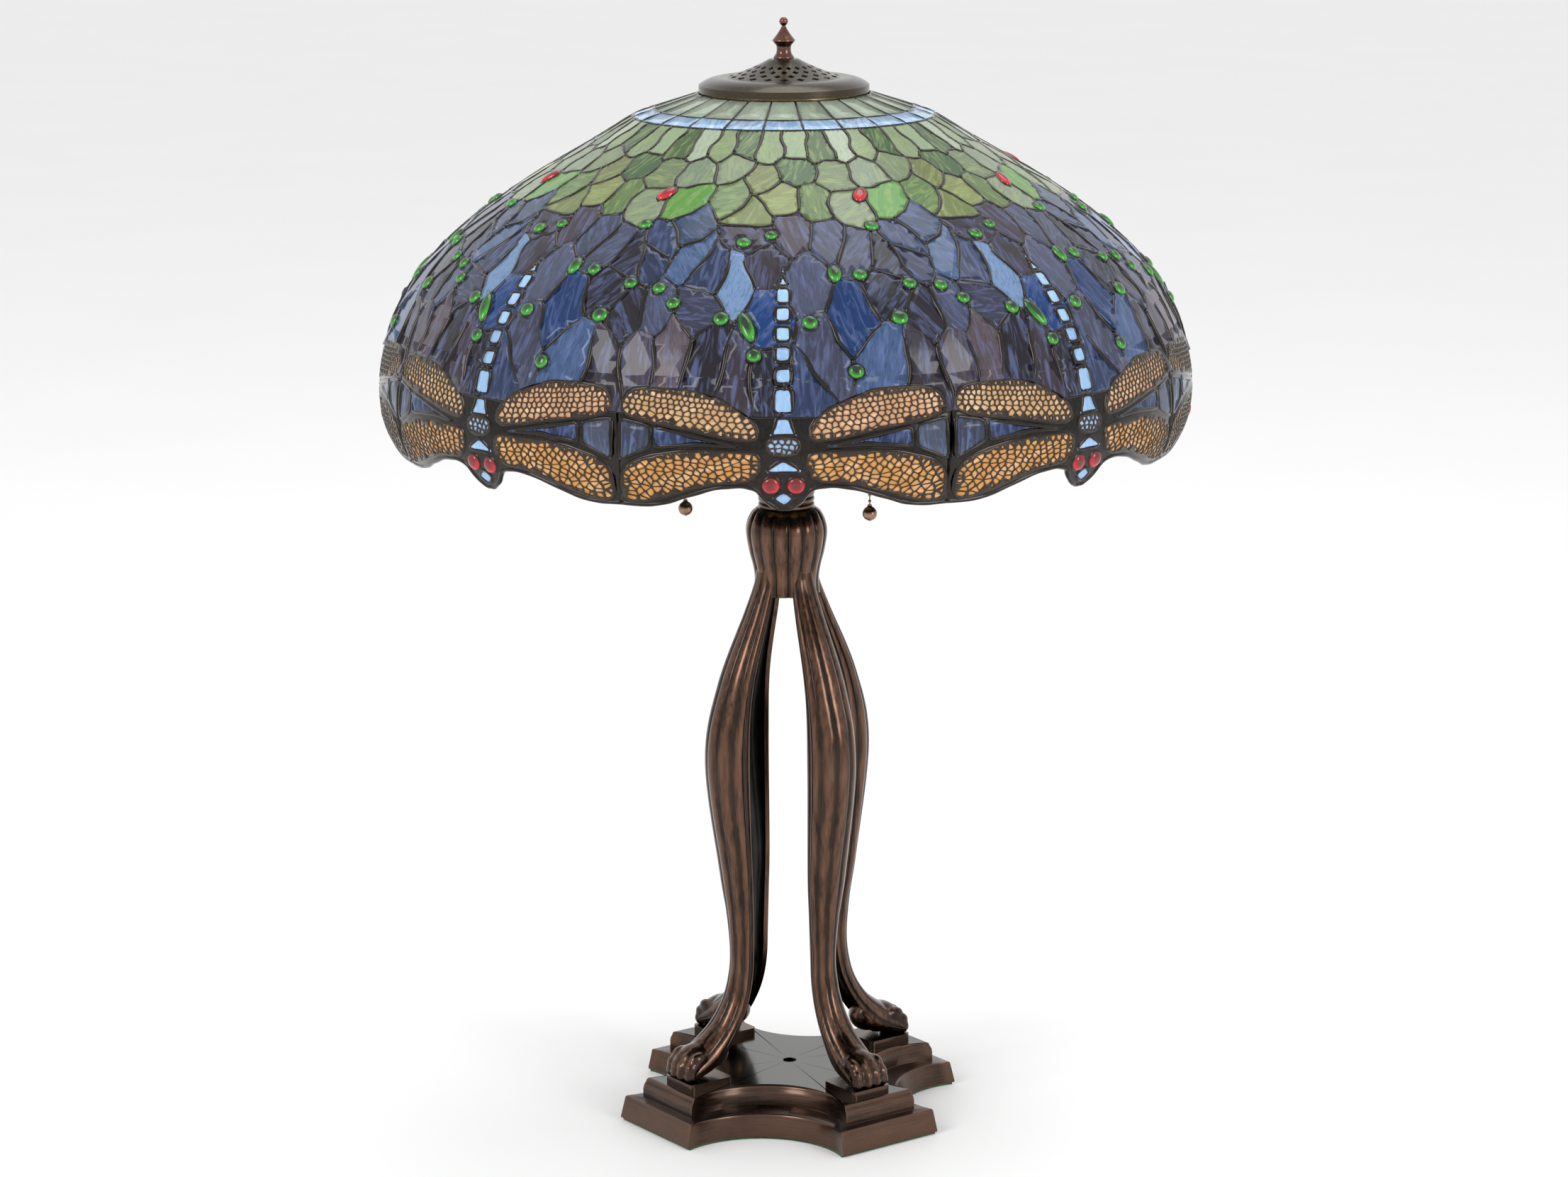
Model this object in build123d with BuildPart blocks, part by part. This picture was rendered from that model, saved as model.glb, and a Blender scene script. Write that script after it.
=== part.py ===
"""Table lamp: a leaded-glass dragonfly shade on a four-legged bronze stand.

Millimetres, +Z up, origin on the table at the middle of the base, front towards -Y.
An azimuth is measured in degrees from -Y towards +X.  The stand's legs are on the
diagonals; heights are stacked from the table up, so a taller leg lifts all that is above it.
"""
import os
from math import atan2, cos, degrees, hypot, radians, sin

from build123d import *

os.makedirs("parts", exist_ok=True)

# ---------------------------------------------------------------- driving dimensions
FIT = 0.1            # clearance of a piece located in another piece of the same body
RUN = 0.08           # radial clearance of a hole that turns on a shaft
GAP = 0.3            # air between pieces that move past each other

PAD_H = 1.5          # baize under the base
PAD_INSET = 2.0
TIER_R = 125.0       # lower tier: centre to corner, at the bottom
TIER_DRAFT = 4.0     # how much smaller it is at its top
TIER_SPAN = 19.35    # half angle that a corner face takes up
TIER_WAIST = 81.4    # centre to the middle of a hollowed side
TIER_H = 16.1
STEP_R = 110.5       # upper tier
STEP_SPAN = 15.6
STEP_WAIST = 59.0
STEP_H = 13.9
STEP_ROUND = 4.5
PLATE_T = 5.0        # metal above the cavity
CAVITY_WALL = 8.0
CORD_HOLE_R = 4.5
BUSHING_R = 5.0
BUSHING_BORE_R = 3.5
BUSHING_L = 12.0
BALLAST_T = 12.0
BALLAST_SCREW_X = 30.0
SCREW_R = 2.5

SPACER_W = 32.0      # block under each paw
SPACER_L = 35.0
SPACER_H = 4.7
SPACER_R = 79.5      # axis to the middle of the block

LEG_H = 397.8        # paw sole to the top of the bulb
LEG_DRAWN_H = 397.8  # height at which the leg stations below are drawn
LEG_WALL = 3.5
BULB_R = 28.5
WAIST_R = 22.6
BULB_WALL = 4.0
WEB_T = 6.0

PIPE_R = 6.35
PIPE_BORE_R = 4.5
NECK_R = 19.6
NECK_GROOVE_R = 18.7
NECK_PITCH = 4.2
NECK_RINGS = 7

HUB_R = 24.0         # cluster body that carries the three arms
HUB_H = 42.0
ARM_R = 5.0
ARM_BORE_R = 3.2
SOCKET_R = 50.0      # lamp axis to a socket's axis
SOCKET_AZ = (-61.0, 59.0, 179.0)
SHELL_T = 0.9
SHELL_H = 42.0
CUP_WALL = 1.5
CUP_H = 12.0
LINER_T = 0.85
THREAD_R = 13.3      # inside of the screw shell
THREAD_T = 0.35
BULB_CAP_H = 27.7
ENVELOPE_R = 30.0
ENVELOPE_H = 90.0
ENVELOPE_T = 1.0

CHAIN_OUT = 24.0     # socket's axis to the chain
BEAD_R = 1.1
BEAD_PITCH = 4.2
CHAIN_HOLE_R = 1.6
PIN_R = 0.45           # pin that the hanging chain swings on
EYE_W = 0.8
LINK_BEADS = 3
DROP_BEADS = 18
BALL_R = 5.0

SHADE_LIFT = 21.6    # top of the neck to the lowest edge of the shade
SHADE_H = 237.0
BELLY_R = 279.4
CROWN_R = 57.5
LEAD_T = 4.2         # thickness of the soldered lattice
LEAD_W = 2.4         # width of a lead between two panes
GLASS_T = 3.0
DRAGONFLIES = 8
DRAGONFLY_AZ = 8.3   # azimuth of the one nearest the front
EYE_R = 6.5

CAP_R = 58.1
CAP_T = 1.5
CAP_H = 22.0
CAP_GROOVE_R = 39.5
CAP_TOP_R = 10.0
VENTS = 20           # vent holes in a row
STUD_R = 3.2
FINIAL_H = 27.9

# ---------------------------------------------------------------- heights, from the table up
tier_z = PAD_H + TIER_H
plate_z = tier_z + STEP_H
sole_z = plate_z + SPACER_H
bulb_top_z = sole_z + LEG_H
neck_top_z = bulb_top_z + NECK_PITCH * NECK_RINGS
rim_z = neck_top_z + SHADE_LIFT
crown_z = rim_z + SHADE_H
cap_z = crown_z
cap_top_z = cap_z + CAP_H
finial_z = cap_top_z + GAP
leg_unit = LEG_H / LEG_DRAWN_H
arm_z = neck_top_z + 0.6 * HUB_H
socket_z = arm_z + 18.0
shell_z = socket_z + CUP_H
CUP_FLOOR = 2.5
liner_z = socket_z + CUP_FLOOR
contact_z = liner_z + CUP_FLOOR
bulb_z = contact_z + 2.0 + GAP
envelope_z = bulb_z + BULB_CAP_H
outlet_z = shell_z + 13.0
mouth_z = outlet_z - 10.0
seat_z = crown_z - 10.0


# ---------------------------------------------------------------- planes
def outward(azimuth, radius=1.0, z=0.0):
    """Point at a radius and height in the direction of an azimuth."""
    a = radians(azimuth)
    return (radius * sin(a), -radius * cos(a), z)


def meridian(azimuth, radius=0.0):
    """Upright plane through the axis: x runs outwards, y runs up."""
    a = radians(azimuth)
    return Plane(outward(azimuth, radius), x_dir=(sin(a), -cos(a), 0), z_dir=(-cos(a), -sin(a), 0))


def facing(azimuth, radius=0.0):
    """Upright plane that faces outwards at an azimuth: x is tangential, y runs up."""
    a = radians(azimuth)
    return Plane(outward(azimuth, radius), x_dir=(cos(a), sin(a), 0), z_dir=(sin(a), -cos(a), 0))


def finish(builder, label):
    """Label a finished piece and write it."""
    builder.part.label = label
    export_step(builder.part, f"parts/{label}.step")


# ---------------------------------------------------------------- base
def plinth_face(vertex_r, span, waist):
    """Square with wide corners and hollowed sides."""
    with BuildSketch() as outline:
        with BuildLine():
            for corner in (45, 135, 225, 315):
                first = outward(corner - span, vertex_r)[:2]
                second = outward(corner + span, vertex_r)[:2]
                following = outward(corner + 90 - span, vertex_r)[:2]
                Line(first, second)
                ThreePointArc(second, outward(corner + 45, waist)[:2], following)
        make_face()
    return outline.sketch


cavity = (STEP_R - CAVITY_WALL, STEP_SPAN - 1.5, STEP_WAIST - CAVITY_WALL)
bushing_z = PAD_H + 8.0
ballast_z = plate_z - PLATE_T - BALLAST_T
screw_spots = [(-BALLAST_SCREW_X, 0), (BALLAST_SCREW_X, 0)]
paw_spots = PolarLocations(SPACER_R, 4, start_angle=45)

with BuildPart() as base_plinth:
    with BuildSketch(Plane.XY.offset(PAD_H)):
        add(plinth_face(TIER_R, TIER_SPAN, TIER_WAIST))
    with BuildSketch(Plane.XY.offset(tier_z)):
        add(plinth_face(TIER_R - TIER_DRAFT, TIER_SPAN, TIER_WAIST - TIER_DRAFT))
    loft(ruled=True)
    with BuildSketch(Plane.XY.offset(tier_z)):
        add(plinth_face(STEP_R, STEP_SPAN, STEP_WAIST))
    extrude(amount=STEP_H)
    fillet(base_plinth.faces().sort_by(Axis.Z)[-1].edges(), STEP_ROUND)
    with BuildSketch(Plane.XY.offset(PAD_H)):
        add(plinth_face(*cavity))
    extrude(amount=plate_z - PLATE_T - PAD_H, mode=Mode.SUBTRACT)
    with BuildSketch(Plane.XY.offset(plate_z)):
        Circle(CORD_HOLE_R)
        with paw_spots:
            Circle(SCREW_R + FIT)
    extrude(amount=-PLATE_T, mode=Mode.SUBTRACT)
    with BuildSketch(Plane.XY.offset(plate_z - PLATE_T)):
        with Locations(*screw_spots):
            Circle(SCREW_R + FIT)
    extrude(amount=PLATE_T - 1.5, mode=Mode.SUBTRACT)
    with BuildSketch(Plane.XZ):
        with Locations((0, bushing_z)):
            Circle(BUSHING_R + FIT)
    extrude(amount=-TIER_R, mode=Mode.SUBTRACT)
finish(base_plinth, "base_plinth")

with BuildPart() as baize_pad:
    with BuildSketch():
        add(plinth_face(TIER_R - PAD_INSET, TIER_SPAN, TIER_WAIST - PAD_INSET))
    extrude(amount=PAD_H)
finish(baize_pad, "baize_pad")

with BuildPart() as ballast_plate:
    with BuildSketch(Plane.XY.offset(ballast_z)):
        add(plinth_face(cavity[0] - 1.0, cavity[1] - 1.0, cavity[2] - 2.0))
        Circle(CORD_HOLE_R + 3.0, mode=Mode.SUBTRACT)
        with Locations(*screw_spots):
            Circle(SCREW_R + FIT, mode=Mode.SUBTRACT)
        with paw_spots:
            Circle(SCREW_R + 4.0, mode=Mode.SUBTRACT)
    extrude(amount=BALLAST_T)
finish(ballast_plate, "ballast_plate")


def screw_set(label, spots, seat, length):
    """Screws driven upwards, with heads below the seat."""
    with BuildPart() as screws:
        with BuildSketch(Plane.XY.offset(seat)):
            with spots:
                Circle(SCREW_R)
        extrude(amount=length)
        with BuildSketch(Plane.XY.offset(seat)):
            with spots:
                Circle(1.7 * SCREW_R)
        extrude(amount=-1.2 * SCREW_R)
        with BuildSketch(Plane.XY.offset(seat - 1.2 * SCREW_R)):
            with spots:
                Rectangle(3.0 * SCREW_R, 1.0)
        extrude(amount=1.0, mode=Mode.SUBTRACT)
    finish(screws, label)


SPACER_SCREW_L = PLATE_T + SPACER_H + 7.0
screw_set("ballast_screws", Locations(*screw_spots), ballast_z, BALLAST_T + PLATE_T - 2.0)
screw_set("paw_screws", paw_spots, plate_z - PLATE_T, SPACER_SCREW_L)

with BuildPart() as paw_spacers:
    with BuildSketch(Plane.XY.offset(plate_z)):
        with paw_spots:
            RectangleRounded(SPACER_L, SPACER_W, 3.0)
            Circle(SCREW_R + FIT, mode=Mode.SUBTRACT)
    extrude(amount=SPACER_H)
finish(paw_spacers, "paw_spacers")

with BuildPart() as cord_bushing:
    with BuildSketch(Plane.XZ.offset(-TIER_WAIST)):
        with Locations((0, bushing_z)):
            Circle(BUSHING_R)
            Circle(BUSHING_BORE_R, mode=Mode.SUBTRACT)
    extrude(amount=BUSHING_L)
    with BuildSketch(Plane.XZ.offset(-TIER_WAIST)):
        with Locations((0, bushing_z)):
            Circle(BUSHING_R + 1.0)
            Circle(BUSHING_BORE_R, mode=Mode.SUBTRACT)
    extrude(amount=-2.0)
finish(cord_bushing, "cord_bushing")

# ---------------------------------------------------------------- legs
# Leg stations, paw to bulb: height above the sole, axis distance, half width, half depth.
LEG_STATIONS = [
    (3.0, 98.0, 14.0, 5.0),
    (8.0, 86.5, 16.6, 10.0),
    (14.5, 71.6, 15.3, 12.0),
    (31.3, 55.6, 12.6, 9.5),
    (45.0, 44.8, 10.2, 8.5),
    (84.0, 40.4, 9.3, 9.0),
    (144.0, 45.3, 15.0, 10.5),
    (223.0, 51.5, 18.0, 15.5),
    (274.0, 44.8, 16.0, 11.0),
    (324.0, 26.5, 11.3, 6.0),
    (352.0, 17.5, 8.0, 4.5),
]


def leg_loft(azimuth, stations):
    """Loft through ellipses (axis distance, height, half width, half depth, lean)."""
    a = radians(azimuth)
    with BuildPart() as limb:
        for r, z, half_w, half_d, lean in stations:
            normal = (cos(lean) * sin(a), -cos(lean) * cos(a), sin(lean))
            place = Plane(outward(azimuth, r, z), x_dir=(cos(a), sin(a), 0), z_dir=normal)
            with BuildSketch(place):
                Ellipse(half_w, half_d)
        loft()
    return limb.part


def leaned(stations):
    """Turn the stations into sections square to the leg's centre line."""
    points = [(r, sole_z + h * leg_unit) for h, r, _, _ in stations]
    sections = []
    for i, (r, z) in enumerate(points):
        before = points[max(i - 1, 0)]
        after = points[min(i + 1, len(points) - 1)]
        lean = atan2(after[1] - before[1], after[0] - before[0])
        sections.append((r, z, stations[i][2], stations[i][3], lean))
    return sections


def channelled(sections):
    """Shift and narrow the sections so that they open the back of the leg."""
    moved = []
    for r, z, half_w, half_d, lean in sections:
        moved.append((r - LEG_WALL * sin(lean), z + LEG_WALL * cos(lean), half_w - LEG_WALL, half_d, lean))
    return moved


waist_z = sole_z + 345.0 * leg_unit
web_z = sole_z + 352.0 * leg_unit
leg_sections = leaned(LEG_STATIONS)


def leg_casting(label, azimuth):
    """Two legs and the half of the fluted bulb that joins them."""
    limbs = [leg_loft(azimuth + side, leg_sections) for side in (-45, 45)]
    channels = [leg_loft(azimuth + side, channelled(leg_sections)[3:10]) for side in (-45, 45)]
    with BuildPart() as casting:
        add(limbs)
        add(channels, mode=Mode.SUBTRACT)
        with BuildSketch(meridian(azimuth - 90)):
            with BuildLine():
                Line((WAIST_R, waist_z), (WAIST_R, web_z + 3))
                Spline((WAIST_R, web_z + 3), (BULB_R, bulb_top_z - 14), (NECK_R + 2, bulb_top_z))
                Line((NECK_R + 2, bulb_top_z), (PIPE_R + FIT, bulb_top_z))
                Line((PIPE_R + FIT, bulb_top_z), (PIPE_R + FIT, bulb_top_z - WEB_T))
                Line((PIPE_R + FIT, bulb_top_z - WEB_T), (WAIST_R - BULB_WALL, bulb_top_z - WEB_T))
                Line((WAIST_R - BULB_WALL, bulb_top_z - WEB_T), (WAIST_R - BULB_WALL, web_z + WEB_T))
                Line((WAIST_R - BULB_WALL, web_z + WEB_T), (PIPE_R + FIT, web_z + WEB_T))
                Line((PIPE_R + FIT, web_z + WEB_T), (PIPE_R + FIT, web_z))
                Line((PIPE_R + FIT, web_z), (WAIST_R - BULB_WALL, web_z))
                Line((WAIST_R - BULB_WALL, web_z), (WAIST_R - BULB_WALL, waist_z))
                Line((WAIST_R - BULB_WALL, waist_z), (WAIST_R, waist_z))
            make_face()
        revolve(axis=Axis.Z, revolution_arc=180)
        with BuildSketch(Plane.XY.offset(sole_z)):
            Rectangle(3 * TIER_R, 3 * TIER_R)
        extrude(amount=-2 * TIER_R, mode=Mode.SUBTRACT)
        with BuildSketch(Plane.XY.offset(sole_z)):
            with paw_spots:
                Circle(SCREW_R + FIT)
        extrude(amount=SPACER_SCREW_L - PLATE_T - SPACER_H + 1.0, mode=Mode.SUBTRACT)
    finish(casting, label)


leg_casting("front_legs", 0)
leg_casting("rear_legs", 180)


# ---------------------------------------------------------------- stem
def turned(label, outline, azimuth=0.0, radius=0.0):
    """Piece of revolution from (axis distance, height) points joined by straight lines."""
    place = meridian(azimuth, radius)
    with BuildPart() as piece:
        with BuildSketch(place):
            with BuildLine():
                Polyline(*outline, close=True)
            make_face()
        revolve(axis=Axis(place.origin, (0, 0, 1)))
    if label:
        finish(piece, label)
    return piece.part


def tube_outline(outer, inner, low, high):
    """Outline of a plain tube."""
    return [(inner, low), (outer, low), (outer, high), (inner, high)]


def hex_nut(label, low, height, across):
    """Hexagon nut on the pipe."""
    with BuildPart() as nut:
        with BuildSketch(Plane.XY.offset(low)):
            RegularPolygon(across / 2, 6, major_radius=False)
            Circle(PIPE_R + FIT, mode=Mode.SUBTRACT)
        extrude(amount=height)
    finish(nut, label)


NUT_H = 6.0
WASHER_T = 2.0
pipe_top_z = crown_z - 6.0
turned("stem_pipe", tube_outline(PIPE_R, PIPE_BORE_R, web_z - WASHER_T - NUT_H - 4.0, pipe_top_z))
turned("stem_washer", tube_outline(2 * PIPE_R - 0.5, PIPE_R + FIT, web_z - WASHER_T, web_z))
hex_nut("stem_nut", web_z - WASHER_T - NUT_H, NUT_H, 19.0)

neck_outline = [(PIPE_R + FIT, neck_top_z), (PIPE_R + FIT, bulb_top_z)]
for ring in range(NECK_RINGS):
    low = bulb_top_z + ring * NECK_PITCH
    neck_outline += [
        (NECK_GROOVE_R, low),
        (NECK_R, low + 0.25 * NECK_PITCH),
        (NECK_R, low + 0.7 * NECK_PITCH),
    ]
neck_outline.append((NECK_GROOVE_R, neck_top_z))
turned("neck_collar", neck_outline)

hub_top_z = neck_top_z + HUB_H
ARM_SEAT_R = 17.0
with BuildPart() as cluster_body:
    with BuildSketch(Plane.XZ):
        with BuildLine():
            Polyline(
                (PIPE_R + FIT, neck_top_z),
                (0.8 * HUB_R, neck_top_z),
                (HUB_R, neck_top_z + 0.3 * HUB_H),
                (HUB_R, neck_top_z + 0.8 * HUB_H),
                (0.6 * HUB_R, hub_top_z),
                (PIPE_R + FIT, hub_top_z),
                close=True,
            )
        make_face()
    revolve(axis=Axis.Z)
    for azimuth in SOCKET_AZ:
        with BuildSketch(facing(azimuth, ARM_SEAT_R)):
            with Locations((0, arm_z)):
                Circle(ARM_R + FIT / 2)
        extrude(amount=HUB_R, mode=Mode.SUBTRACT)
finish(cluster_body, "cluster_body")
hex_nut("cluster_nut", hub_top_z, NUT_H, 20.0)

# ---------------------------------------------------------------- sockets, bulbs and pull chains
thread_outer_r = THREAD_R + THREAD_T
liner_bore_r = thread_outer_r + FIT
liner_r = liner_bore_r + LINER_T
cup_bore_r = liner_r + FIT + GAP
shell_r = cup_bore_r + CUP_WALL
shell_bore_r = shell_r - SHELL_T
shell_top_z = shell_z + SHELL_H
liner_top_z = shell_top_z - 1.0
thread_top_z = shell_top_z - 3.0
cap_r = THREAD_R - GAP
link_low_z = mouth_z - 1.0
BEAD_WIRE_R = 0.4
OUTLET_R = 4.0


def bead_string(chain_axis, low, count, stop=0.0):
    """Bead chain hanging straight: balls joined by a wire that ends short of its top by a given length."""
    with BuildPart() as chain:
        with BuildSketch(Plane((*chain_axis, low))):
            Circle(BEAD_WIRE_R)
        extrude(amount=count * BEAD_PITCH - stop)
        with Locations(*[(*chain_axis, low + (i + 0.5) * BEAD_PITCH) for i in range(count)]):
            Sphere(BEAD_R)
    return chain.part


def chain_pieces(number, azimuth):
    """Pull chain: the link in the outlet ends in a fork, and the eye of the hanging drop swings in it."""
    chain_axis = outward(azimuth, SOCKET_R + CHAIN_OUT)[:2]
    swing = meridian(azimuth, SOCKET_R + CHAIN_OUT)
    eye_r = 2 * PIN_R + 0.1
    half_w = EYE_W / 2 + FIT
    with BuildPart() as link:
        add(bead_string(chain_axis, link_low_z + BEAD_PITCH / 4, LINK_BEADS))
        with BuildSketch(swing):
            with Locations((0, link_low_z + 0.8)):
                Rectangle(1.2, 3.4)
        extrude(amount=half_w + 0.5, both=True)
        with BuildSketch(swing):
            with Locations((0, link_low_z)):
                Rectangle(3.0, 2 * eye_r + 2 * FIT)
        extrude(amount=half_w, both=True, mode=Mode.SUBTRACT)
        with BuildSketch(swing):
            with Locations((0, link_low_z)):
                Circle(PIN_R)
        extrude(amount=half_w + 0.5, both=True)
    finish(link, f"chain_link_{number}")

    drop_low_z = link_low_z - GAP / 2 - DROP_BEADS * BEAD_PITCH
    with BuildPart() as drop:
        add(bead_string(chain_axis, drop_low_z, DROP_BEADS, stop=eye_r - 2 * FIT))
        with BuildSketch(swing):
            with Locations((0, link_low_z)):
                Circle(eye_r)
                Circle(PIN_R + RUN, mode=Mode.SUBTRACT)
        extrude(amount=EYE_W / 2, both=True)
    finish(drop, f"chain_drop_{number}")
    turned(f"chain_ball_{number}", [
        (0, drop_low_z), (1.3, drop_low_z), (1.6, drop_low_z - 1.5), (2.2, drop_low_z - 2.0),
        *[(BALL_R * sin(radians(t)), drop_low_z - 1.5 - BALL_R * (1 - cos(radians(t))))
          for t in range(30, 180, 15)],
        (0, drop_low_z - 1.5 - 2 * BALL_R),
    ], azimuth, SOCKET_R + CHAIN_OUT)


def socket_unit(number, azimuth):
    """One arm with its socket and bulb."""
    with BuildPart() as arm:
        with BuildLine(meridian(azimuth)):
            FilletPolyline((ARM_SEAT_R, arm_z), (SOCKET_R, arm_z), (SOCKET_R, socket_z), radius=12.0)
        with BuildSketch(facing(azimuth, ARM_SEAT_R)):
            with Locations((0, arm_z)):
                Circle(ARM_R)
                Circle(ARM_BORE_R, mode=Mode.SUBTRACT)
        sweep()
    finish(arm, f"arm_{number}")

    turned(f"socket_cup_{number}", [
        (0, socket_z), (shell_r, socket_z), (shell_r, shell_z), (cup_bore_r, shell_z),
        (cup_bore_r, liner_z), (0, liner_z),
    ], azimuth, SOCKET_R)
    with BuildPart() as shell:
        place = meridian(azimuth, SOCKET_R)
        with BuildSketch(place):
            with BuildLine():
                Polyline(*tube_outline(shell_r, shell_bore_r, shell_z, shell_top_z), close=True)
            make_face()
        revolve(axis=Axis(place.origin, (0, 0, 1)))
        with BuildSketch(facing(azimuth, SOCKET_R + shell_r - SHELL_T / 2)):
            with Locations((0, outlet_z)):
                Circle(OUTLET_R)
        extrude(amount=CHAIN_OUT - shell_r + SHELL_T / 2 + OUTLET_R)
        chain_axis = outward(azimuth, SOCKET_R + CHAIN_OUT)
        with BuildSketch(Plane((chain_axis[0], chain_axis[1], mouth_z))):
            Circle(OUTLET_R + 0.6)
        with BuildSketch(Plane((chain_axis[0], chain_axis[1], outlet_z))):
            Circle(OUTLET_R - 1.2)
        loft()
        with BuildSketch(Plane((chain_axis[0], chain_axis[1], mouth_z))):
            Circle(CHAIN_HOLE_R)
        extrude(amount=outlet_z - mouth_z + OUTLET_R - 1.0, mode=Mode.SUBTRACT)
    finish(shell, f"socket_shell_{number}")

    turned(f"bulb_cap_{number}", [
        (0, bulb_z), (4.5, bulb_z), (5.5, bulb_z + 3), (cap_r - 1, bulb_z + 6),
        (cap_r, bulb_z + 7), (cap_r, envelope_z), (0, envelope_z),
    ], azimuth, SOCKET_R)
    with BuildPart() as envelope:
        place = meridian(azimuth, SOCKET_R)
        for inset in (0, ENVELOPE_T):
            top = envelope_z + ENVELOPE_H - inset
            with BuildSketch(place):
                with BuildLine():
                    Line((0, envelope_z + inset), (cap_r - 0.6 - inset, envelope_z + inset))
                    Spline(
                        (cap_r - 0.6 - inset, envelope_z + inset),
                        (cap_r - 0.2 - inset, envelope_z + 0.25 * ENVELOPE_H),
                        (ENVELOPE_R - inset, envelope_z + 0.67 * ENVELOPE_H),
                        (0, top),
                        tangents=[(0, 1), (-1, 0)],
                    )
                    Line((0, top), (0, envelope_z + inset))
                make_face()
            revolve(axis=Axis(place.origin, (0, 0, 1)), mode=Mode.SUBTRACT if inset else Mode.ADD)
    finish(envelope, f"bulb_glass_{number}")


for number, azimuth in enumerate(SOCKET_AZ, 1):
    socket_unit(number, azimuth)
    chain_pieces(number, azimuth)


def in_each_socket(label, outline):
    """One node with the same turned piece in each socket."""
    with BuildPart() as group:
        add([turned("", outline, azimuth, SOCKET_R) for azimuth in SOCKET_AZ])
    finish(group, label)


in_each_socket("socket_liners", [
    (0, liner_z), (liner_r, liner_z), (liner_r, liner_top_z),
    (liner_bore_r, liner_top_z), (liner_bore_r, contact_z), (0, contact_z),
])
in_each_socket("screw_shells", tube_outline(thread_outer_r, THREAD_R, contact_z, thread_top_z))
in_each_socket("centre_contacts", [(0, contact_z), (4.0, contact_z), (4.0, contact_z + 2.0), (0, contact_z + 2.0)])

# ---------------------------------------------------------------- what carries the shade
SEAT_R = 22.0
SEAT_T = 3.0
WHEEL_T = 3.0
wheel_r = CROWN_R - 2.0
turned("shade_seat", [
    (PIPE_R + FIT, seat_z - 12), (12, seat_z - 12), (12, seat_z - SEAT_T), (SEAT_R, seat_z - SEAT_T),
    (SEAT_R, seat_z), (PIPE_R + FIT, seat_z),
])
hex_nut("seat_nut", seat_z - 12 - NUT_H, NUT_H, 20.0)
turned("finial_stud", [
    (0, pipe_top_z - 14), (PIPE_BORE_R - FIT / 2, pipe_top_z - 14), (PIPE_BORE_R - FIT / 2, pipe_top_z),
    (PIPE_R - 0.5, pipe_top_z), (PIPE_R - 0.5, pipe_top_z + 4), (STUD_R, pipe_top_z + 4),
    (STUD_R, finial_z + 11), (0, finial_z + 11),
])

with BuildPart() as shade_wheel:
    with BuildSketch(Plane.XY.offset(seat_z + GAP)):
        Circle(wheel_r)
        with PolarLocations(0, 4, start_angle=45):
            with Locations((0.5 * (wheel_r + 14), 0)):
                SlotOverall(wheel_r - 28, 0.7 * (wheel_r - 28), mode=Mode.SUBTRACT)
        Circle(PIPE_R + RUN, mode=Mode.SUBTRACT)
    extrude(amount=WHEEL_T)
    with BuildSketch(Plane.XY.offset(seat_z + GAP)):
        Circle(wheel_r)
        Circle(wheel_r - 4, mode=Mode.SUBTRACT)
    extrude(amount=cap_z - seat_z - GAP)
finish(shade_wheel, "shade_wheel")

# ---------------------------------------------------------------- shade
# The dome's outline from its rim to its crown, as shares of the height and of the way
# from the crown's radius out to the belly's.  Each step is one course of glass.
COURSES = [
    (0.0, 0.960), (0.063, 0.986), (0.165, 1.0), (0.338, 0.966), (0.494, 0.872), (0.654, 0.690),
    (0.738, 0.562), (0.936, 0.207), (0.958, 0.142), (1.0, 0.0),
]
FIELD_COURSES = (3, 4, 5)        # dark glass each side of the tails
LEAF_COURSE = 6                  # green glass
BAND_COURSE = 7
CROWN_COURSE = 8
DRAWN_H = 237.0                  # the dragonfly is drawn on a dome this high
sector = 360.0 / DRAGONFLIES
corners = [(CROWN_R + share * (BELLY_R - CROWN_R), rim_z + rise * SHADE_H) for rise, share in COURSES]


def dome_radius(z):
    """Outer radius of the dome at a height."""
    for (r0, z0), (r1, z1) in zip(corners, corners[1:]):
        if z <= z1:
            return r0 + (r1 - r0) * (z - z0) / (z1 - z0)
    return corners[-1][0]


def course_frame(index):
    """Ends of a course, with the unit vectors along it and out of it."""
    (r0, z0), (r1, z1) = corners[index], corners[index + 1]
    length = hypot(r1 - r0, z1 - z0)
    along = ((r1 - r0) / length, (z1 - z0) / length)
    return (r0, z0), (r1, z1), along, (along[1], -along[0])


def shifted_corners(depth):
    """The dome's outline moved inwards by a depth, with mitred corners."""
    moved = []
    for i, (r, z) in enumerate(corners):
        normals = [course_frame(j)[3] for j in (i - 1, i) if 0 <= j < len(corners) - 1]
        n_r = sum(n[0] for n in normals) / len(normals)
        n_z = sum(n[1] for n in normals) / len(normals)
        stretch = depth / (n_r * n_r + n_z * n_z)
        moved.append((r - n_r * stretch, z - n_z * stretch))
    return moved


def dome_shell(depth, thickness):
    """One sector of the dome between two depths below its outline."""
    with BuildPart() as shell:
        with BuildSketch(meridian(DRAGONFLY_AZ - sector / 2)):
            with BuildLine():
                Polyline(*shifted_corners(depth), *reversed(shifted_corners(depth + thickness)), close=True)
            make_face()
        revolve(axis=Axis.Z, revolution_arc=sector)
    return shell.part


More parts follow.
